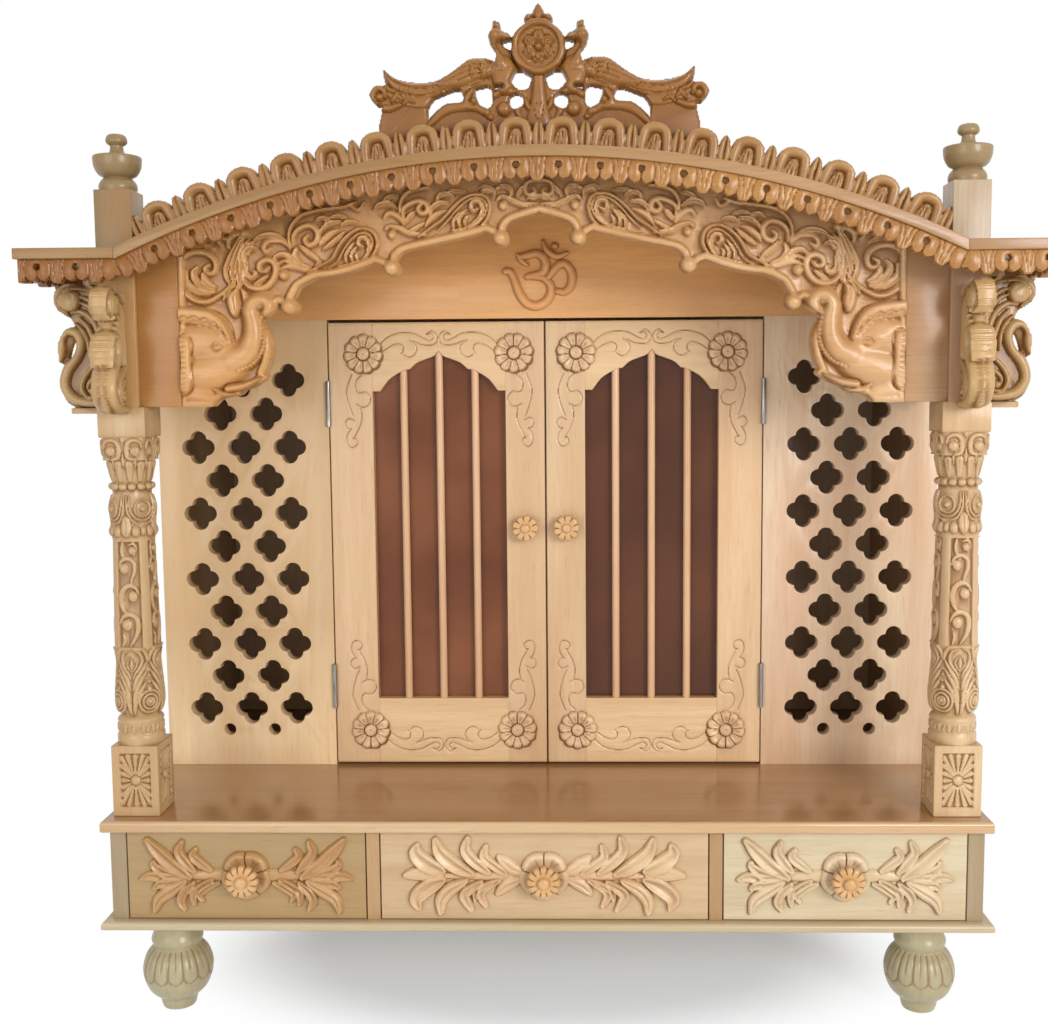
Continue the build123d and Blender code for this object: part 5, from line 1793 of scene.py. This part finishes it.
def buildCrest():
    length = math.asin(roof["halfSpan"] / roof["radius"]) * roof["radius"]
    leaves = length - crest["end"]
    pitch = 2 * leaves / crest["cells"]
    h, half, gap = crest["height"], crest["hood"] * pitch, (crest["hood"] + 0.012) * pitch
    sheet = newSheet(-length, length, -2, h + 4, crest["grid"])
    # the upper edge of one hood and half a bud on each side, from its middle
    budSide = [(-pitch / 2, h * 0.96), (-pitch * 0.445, h * 0.92), (-pitch * 0.40, h * 0.80),
               (-gap, h * 0.64)]
    hoodSide = [(-gap, h * 0.64), (-half * 0.88, h * 0.84), (-half * 0.45, h * 0.98)]
    cell = [budSide, hoodSide + [(0, h * 1.01)] + [(-s, z) for s, z in reversed(hoodSide)],
            [(-s, z) for s, z in reversed(budSide)]]
    start = [[(-length, -1.5), (-length, h * 0.6)],
             [(-length, h * 0.6), (-length + 7, h * 0.86), (-leaves - 3, h * 0.84), (-leaves, h * 0.9)]]
    runs = list(start)
    for m in (-leaves + (number + 0.5) * pitch for number in range(crest["cells"])):
        runs += [[(m + s, z) for s, z in run] for run in cell]
        crestHood(sheet, m, half, h)
    for number in range(crest["cells"] + 1):
        crestBud(sheet, -leaves + number * pitch, h)
    runs += [[(-s, z) for s, z in reversed(run)] for run in reversed(start)]
    runs.append([(length, -1.5), (-length, -1.5)])
    cutOutline(sheet, [outlineOf(runs)], 8)
    shade = hollowOf(sheet, 2.6, 0.5)
    sheet["height"] -= 3.4
    roundEdge(sheet, 2.2)
    front = crest["front"]
    sheetPiece("crest_leaves", sheet, arcPlace(front, roof["radius"]), front - crest["back"], shade,
               wood["crest"], keep=crest["keep"], node="leaf_crest")


buildValanceFront()
buildValanceSides()
buildCrest()
print("eaves and crest carved")


pediment = {
    "front": -217.0,
    "back": -195.0,
    "base": 1084.0,  # top of the roof's arc at its crown
    "half": 206.0,
    "height": 185.0,
    "medallion": 132.0,
    "medallionRadius": 33.0,
    "grid": 1.35,
    "keep": 0.36,
}

pedimentEdge = chained([
    [(0, 185), (-4.5, 179), (-8, 173.5)],
    [(-15, 172.5), (-17.5, 166), (-15, 160)],
    [(-24, 153.5), (-31, 146)],
    [(-36, 150.5), (-44, 154), (-46.5, 163)],
    [(-55.5, 163.5)],
    [(-57, 154), (-60.5, 148), (-58.5, 137), (-51.5, 127), (-53, 117)],
    [(-64.5, 122), (-82, 121), (-97, 111), (-112, 101), (-133, 94.5), (-157, 95), (-177, 101), (-189, 112)],
    [(-188.5, 101), (-186, 91)],
    [(-199, 90), (-206, 79), (-199, 67.5), (-190, 65)],
    [(-194, 50), (-196, 40)],
    [(-197, -20)],
    [(0, -2)],
])
pedimentHoles = [
    [[(-45, 139), (-33.5, 141), (-33.5, 131), (-41, 134.5)], [(-41, 134.5), (-45, 139)]],
    [[(-27, 105.5), (-20, 105), (-14, 101.5), (-9, 99.5)],
     [(-9, 99.5), (-13, 87), (-23, 84.5), (-34, 92)], [(-34, 92), (-31, 99), (-27, 105.5)]],
    [[(-53, 87), (-44, 87.6), (-43, 84), (-52, 84)], [(-52, 84), (-53, 87)]],
    [[(-77, 85), (-60, 86.5), (-56.5, 72), (-61, 63.5), (-71, 66.5), (-75.5, 75)], [(-75.5, 75), (-77, 85)]],
    [[(-127, 74.5), (-98, 84), (-93.5, 71), (-113, 68.5), (-129, 57), (-134, 51)],
     [(-134, 51), (-134, 64), (-127, 74.5)]],
]
birdStrokes = [
    # tail and its long feathers
    ("round", (7.0, 8.5, 1.6), (3.4, 4.2), -70, 100, -95, 93, -120, 84, -150, 82, -174, 90, -188, 107),
    ("blade", (4.0, 7.5, 4.0), (3.0, 4.0), -88, 86, -112, 76, -140, 70, -168, 74, -186, 86),
    ("round", (1.2, 2.6, 1.2), (4.6, 5.0), -98, 100, -120, 91, -148, 88, -172, 95, -187, 107),
    ("round", (1.0, 2.2, 0.8), (4.4, 4.4), -100, 92, -124, 82, -150, 79.5, -172, 85),
    # folded wing
    ("round", (9.0, 14.0, 3.0), (8.0, 6.0), -62, 106, -80, 107, -100, 98, -120, 89),
    # breast and neck
    ("round", (6.0, 16.0, 8.0), (6.0, 10.0), -50, 119, -42, 104, -42, 84),
    ("round", (5.5, 5.4, 9.0), (7.0, 9.5), -53, 144, -56, 135, -51, 124, -45, 113),
    ("round", (4.2, 2.0), (7.0, 6.0), -46, 145, -34, 143),
    ("flat", (3.4, 4.8), (6.0, 6.5), -52, 152, -51, 162),
    # perch and small scrolls under the bird
    ("round", (3.0, 4.0, 2.6), (5.0, 5.0), -58, 82, -54, 76, -46, 80, -34, 80, -20, 74),
    ("round", (2.6, 4.2, 2.4), (5.5, 5.5), -78, 84, -84, 78, -88, 70, -84, 62, -76, 62),
    ("round", (3.5, 6.5, 3.5), (4.5, 4.5), -133, 42, -116, 58, -96, 64, -74, 62, -58, 50),
    ("round", (2.5, 4.5, 2.0), (5.5, 5.0), -12, 60, -18, 70, -26, 58, -20, 48),
    # scroll at the outer end
    ("round", (3.0, 5.0, 3.0), (5.5, 6.5), -168, 66, -182, 62, -196, 66, -202, 77, -196, 86, -188, 84,
     -186, 76),
    ("round", (1.4, 3.2, 1.2), (5.0, 5.0), -178, 70, -172, 77, -164, 72),
    ("round", (1.2, 2.8, 1.0), (5.0, 5.0), -165, 66, -158, 72, -150, 68),
    ("round", (1.2, 2.6, 1.0), (4.6, 4.6), -188, 92, -180, 84, -168, 80),
]
birdBalls = [(-53, 146.5, 8.8, 10.5), (-42, 60, 9.0, 8.5), (-192.5, 75.5, 5.2, 7.5), (-78, 70, 4.8, 7.0),
             (-68.5, 108.5, 4.0, 9.0), (-12.5, 166, 4.6, 6.5), (-63, 56, 5.0, 6.5)]

# feathers and the medallion's flower, cut in with a fine gouge
birdCuts = [
    [(-58, 114), (-63, 104), (-60, 94)],
    [(-66, 113), (-84, 111), (-104, 102), (-120, 92)],
    [(-67, 108), (-84, 105), (-104, 96.5), (-120, 89)],
    [(-67, 102), (-82, 99.5), (-98, 93)],
    [(-74, 117), (-70, 112), (-72, 104), (-70, 98)],
    [(-86, 114), (-82, 109), (-84, 102), (-81, 96)],
]


def carveMedallion(sheet, m, ring):
    # rolled rim, sunk floor and a flower of six scrolled petals
    x, z = np.meshgrid(sheet["x"], sheet["z"])
    r = np.hypot(x, z - m)
    rim = dome((r - ring + 4.2) / 4.4) * 4.5 + 6.0
    disc = np.where(r > ring - 8.4, rim, 4.6)
    sheet["height"] = np.where(r < ring, disc, sheet["height"] - np.where(r < ring + 1.2, 1.8, 0))
    for turn in range(30, 390, 60):
        angle = math.radians(turn)
        px, pz = 12.6 * math.cos(angle), m + 12.6 * math.sin(angle)
        if px < 6:
            ball(sheet, px, pz, 7.8, 9.0, 0.8)
            incise(sheet, swirl(px, pz, 5.0, 1.2, math.degrees(angle) + 180, 1.1), 1.2, 2.2)
    for turn in range(0, 360, 60):
        angle = math.radians(turn)
        incise(sheet, [(r * math.cos(angle), m + r * math.sin(angle)) for r in (15, 21)], 1.2, 1.4)
    ball(sheet, -0.1, m, 5.0, 8.8, 0.8)


def buildPediment():
    sheet = newSheet(-pediment["half"] - 1.5, 0, -24, pediment["height"] + 1.5, pediment["grid"])
    carveAll(sheet, birdStrokes, 0.9, 1.6)
    for spot in birdBalls:
        ball(sheet, *spot, 1.2)
    for points in birdCuts:
        incise(sheet, points, 1.1, 1.8)
    carve(sheet, [(-0.1, 104), (-0.1, 80), (-0.1, 44)], (8, 9, 16), (6.5, 6.0), "round", 1.0)
    carve(sheet, [(-0.1, 60), (-0.1, 50)], (5.5, 3.5), 7.0, "vein", 1.0)
    carve(sheet, [(-0.1, 167), (-0.1, 174), (-0.1, 184)], (4.4, 6.4, 1.0), (7.0, 5.0), "round", 1.0)
    carveMedallion(sheet, pediment["medallion"], pediment["medallionRadius"])
    edge = outlineOf([[(0, -2), (0, 185)]] + pedimentEdge)
    low = sheet["x"][-1] - 0.01
    edge[:, 0] = np.where(edge[:, 0] > low, 3.0, edge[:, 0])
    cutOutline(sheet, [edge] + [outlineOf(runs) for runs in pedimentHoles] + [circleOf(-27, 70, 8.4, 24)], 8)
    shade = mirrored(hollowOf(sheet, 2.6, 0.5))
    sheet["height"] -= 6.5
    roundEdge(sheet, 5.0)
    sheetPiece("peacock_crown", movedSheet(mirrorSheet(sheet), 0, pediment["base"]),
               frontPlace(pediment["front"]), pediment["front"] - pediment["back"], shade, wood["pediment"],
               keep=pediment["keep"], node="peacock_pediment")


bracket = {
    "outer": 537.0,
    "foot": 788.0,
    "middleY": -216.5,
    "halfThick": 13.5,
    "frontX": 514.5,
    "frontY": -239.0,
    "frontFoot": 779.5,
    "grid": 1.15,
    "keep": 0.42,
}
bracketEdge = chained([
    [(0, 0), (42, 0)],
    [(52, 7), (59, 24), (58, 40), (54, 52)],
    [(58, 56), (57, 62)],
    [(58, 73), (54, 85), (47, 96), (38, 100)],
    [(44, 110), (57, 120), (61, 134), (54, 148), (40, 153), (22, 148)],
])
bracketEye = [
    [(37, 81), (35.5, 73), (38.5, 65), (44, 59.5)],
    [(44, 59.5), (42.5, 67), (40, 75), (37, 81)],
]
bracketStrokes = [
    ("round", (2.0, 4.2, 2.0), (5.0, 6.0), 3, 62, 5, 86, 12, 106, 26, 117, 38, 116),
    ("round", (1.8, 3.8, 1.8), (5.5, 6.0), 10, 60, 12, 80, 18, 97, 28, 110),
    ("round", (1.8, 3.4, 1.6), (6.0, 6.0), 18, 62, 19, 78, 24, 92, 33, 103),
    ("round", (1.6, 3.4, 2.0), (4.5, 6.0), 2, 96, 7, 112, 16, 123, 26, 128),
    ("round", (1.6, 3.0, 2.0), (4.5, 5.5), 2, 114, 8, 124, 18, 132, 26, 135),
    ("scoop", (3.0, 6.0, 3.4), (6.0, 8.0), 3, 136, 14, 145, 30, 149, 46, 146, 56, 135, 54, 121, 44, 114),
    ("round", (2.0, 3.4, 2.4), (6.0, 7.0), 1, 60, 12, 52, 24, 39, 29, 25, 23, 13, 13, 13),
    ("round", (1.6, 3.0, 1.8), (5.0, 6.0), 2, 42, 13, 37, 21, 28, 20, 20),
    ("round", (1.4, 2.6, 1.4), (4.5, 5.0), 2, 28, 8, 27, 13, 22),
    ("round", (5.0, 7.2, 5.2), (8.0, 9.5), 4, 5.5, 22, 6, 40, 11.5, 50.5, 27, 46, 46, 34, 62, 28, 77, 32,
     90, 43, 93.5, 51, 86, 52.5, 76),
    ("round", (5.2, 5.6, 1.2), (9.5, 8.0), 52, 78, 53, 68, 54.5, 56),
]


def carveBracket():
    sheet = newSheet(-1, 62.5, -10, 175, bracket["grid"])
    carveAll(sheet, bracketStrokes, 0.9, 1.6)
    ball(sheet, 16, 20, 5.0, 7.5, 1.0)
    ball(sheet, 53, 79, 6.0, 10.0, 0.0)
    carve(sheet, [(39, 130), (40, 130)], 14.0, 8.6, "flat", 1.4)
    incise(sheet, [(50.5, 82), (53, 81)], 1.0, 1.2)
    return sheet


def buildBrackets():
    sheet = carveBracket()
    half = bracket["halfThick"]
    shade = hollowOf(sheet, 2.8, 0.6)
    sheet["height"] -= 7.0
    front, side = (dict(sheet, height=sheet["height"].copy()) for _ in range(2))
    eye = outlineOf(bracketEye)
    top = chained([[(22, 148), (0, 148)], [(0, 0)]])
    headTop = chained([[(22, 148), (20.4, 173)], [(0, 173)], [(0, 0)]])
    plate = chained([[(0, 0), (7.2, 0)], [(7.2, -8.5)], [(42.7, -8.5)], [(42.7, 0)], [(44, 0.6)]])
    cutOutline(front, [outlineOf(bracketEdge + top), eye], 10)
    cutOutline(side, [outlineOf(plate + bracketEdge[1:] + headTop), eye], 10)
    x, z = np.meshgrid(sheet["x"], sheet["z"])
    for one in (front, side):
        # square where it meets the post, rolled everywhere else
        inside = one["inside"]
        rollDown(one, inside + np.where(inside > 0, np.clip(9 - x, 0, 9), 0), 6.5)
    # the square head and plate stay flat
    side["height"] = np.where((z > 149) & (x < 21) | (z < 0), -0.4, side["height"])

    def sidePlace(sign, way):
        def place(x, z, height):
            return np.column_stack([sign * (bracket["outer"] + x), bracket["middleY"] - way * (half + height),
                                    bracket["foot"] + z])
        return place

    def forwardPlace(sign, way):
        def place(x, z, height):
            return np.column_stack([sign * bracket["frontX"] + way * (half + height), bracket["frontY"] - x,
                                    bracket["frontFoot"] + z])
        return place

    for row, cut, placeOf in (("side", side, sidePlace), ("front", front, forwardPlace)):
        node = f"brackets_{row}"  # stands for the first of the four pieces only
        for where, sign in sides.items():
            for way, face in ((-1, "inner"), (1, "outer")):
                sheetPiece(f"bracket_{row}_{where}_{face}", cut, placeOf(sign, way), -half, shade,
                           wood["bracket"], keep=bracket["keep"], node=node)
                node = None


omSign = {
    "middle": -2.0,
    "base": 917.0,
    "front": -18.5,
    "height": 8.0,
    "grid": 0.8,
    "keep": 0.5,
}
signStrokes = [
    ((3.0, 4.6, 2.6), [(-34, 74), (-29, 66), (-21, 60)]),
    ((5.0, 6.8, 5.2), [(-31, 71), (-20, 73.5), (-9, 75.5), (0, 71), (4, 62), (2, 52.5), (-6, 47),
                       (-21, 44.5)]),
    ((5.0, 7.0, 5.2), [(-12, 44.5), (0, 42.5), (9.5, 34), (11, 22.5), (4.5, 11), (-9, 4.5), (-23, 9),
                       (-33, 23), (-39, 40), (-45, 51), (-51, 52)]),
    ((4.4, 6.6, 5.0), [(7, 42), (13, 50), (21, 59), (30, 61), (37.5, 54), (40.5, 43), (38, 31), (30, 23.5),
                       (20, 24.5)]),
    ((2.8, 5.4, 2.8), [(1, 92), (4, 82), (12, 74.5), (22, 71.5), (34, 76)]),
]


def buildSign():
    sheet = newSheet(-60, 50, -4, 100, omSign["grid"])
    for width, points in signStrokes:
        carve(sheet, points, width, omSign["height"])
    ball(sheet, 17, 85.5, 5.4, omSign["height"], 0)
    onlyStrokes(sheet, 1.2)
    sheetPiece("carved_om", movedSheet(sheet, omSign["middle"], omSign["base"]), frontPlace(omSign["front"]),
               0.0, hollowOf(sheet, 2.0, 0.4), wood["om"], keep=omSign["keep"], node="om_carving")


buildPediment()
buildBrackets()
buildSign()
print("crown, brackets and sign carved")
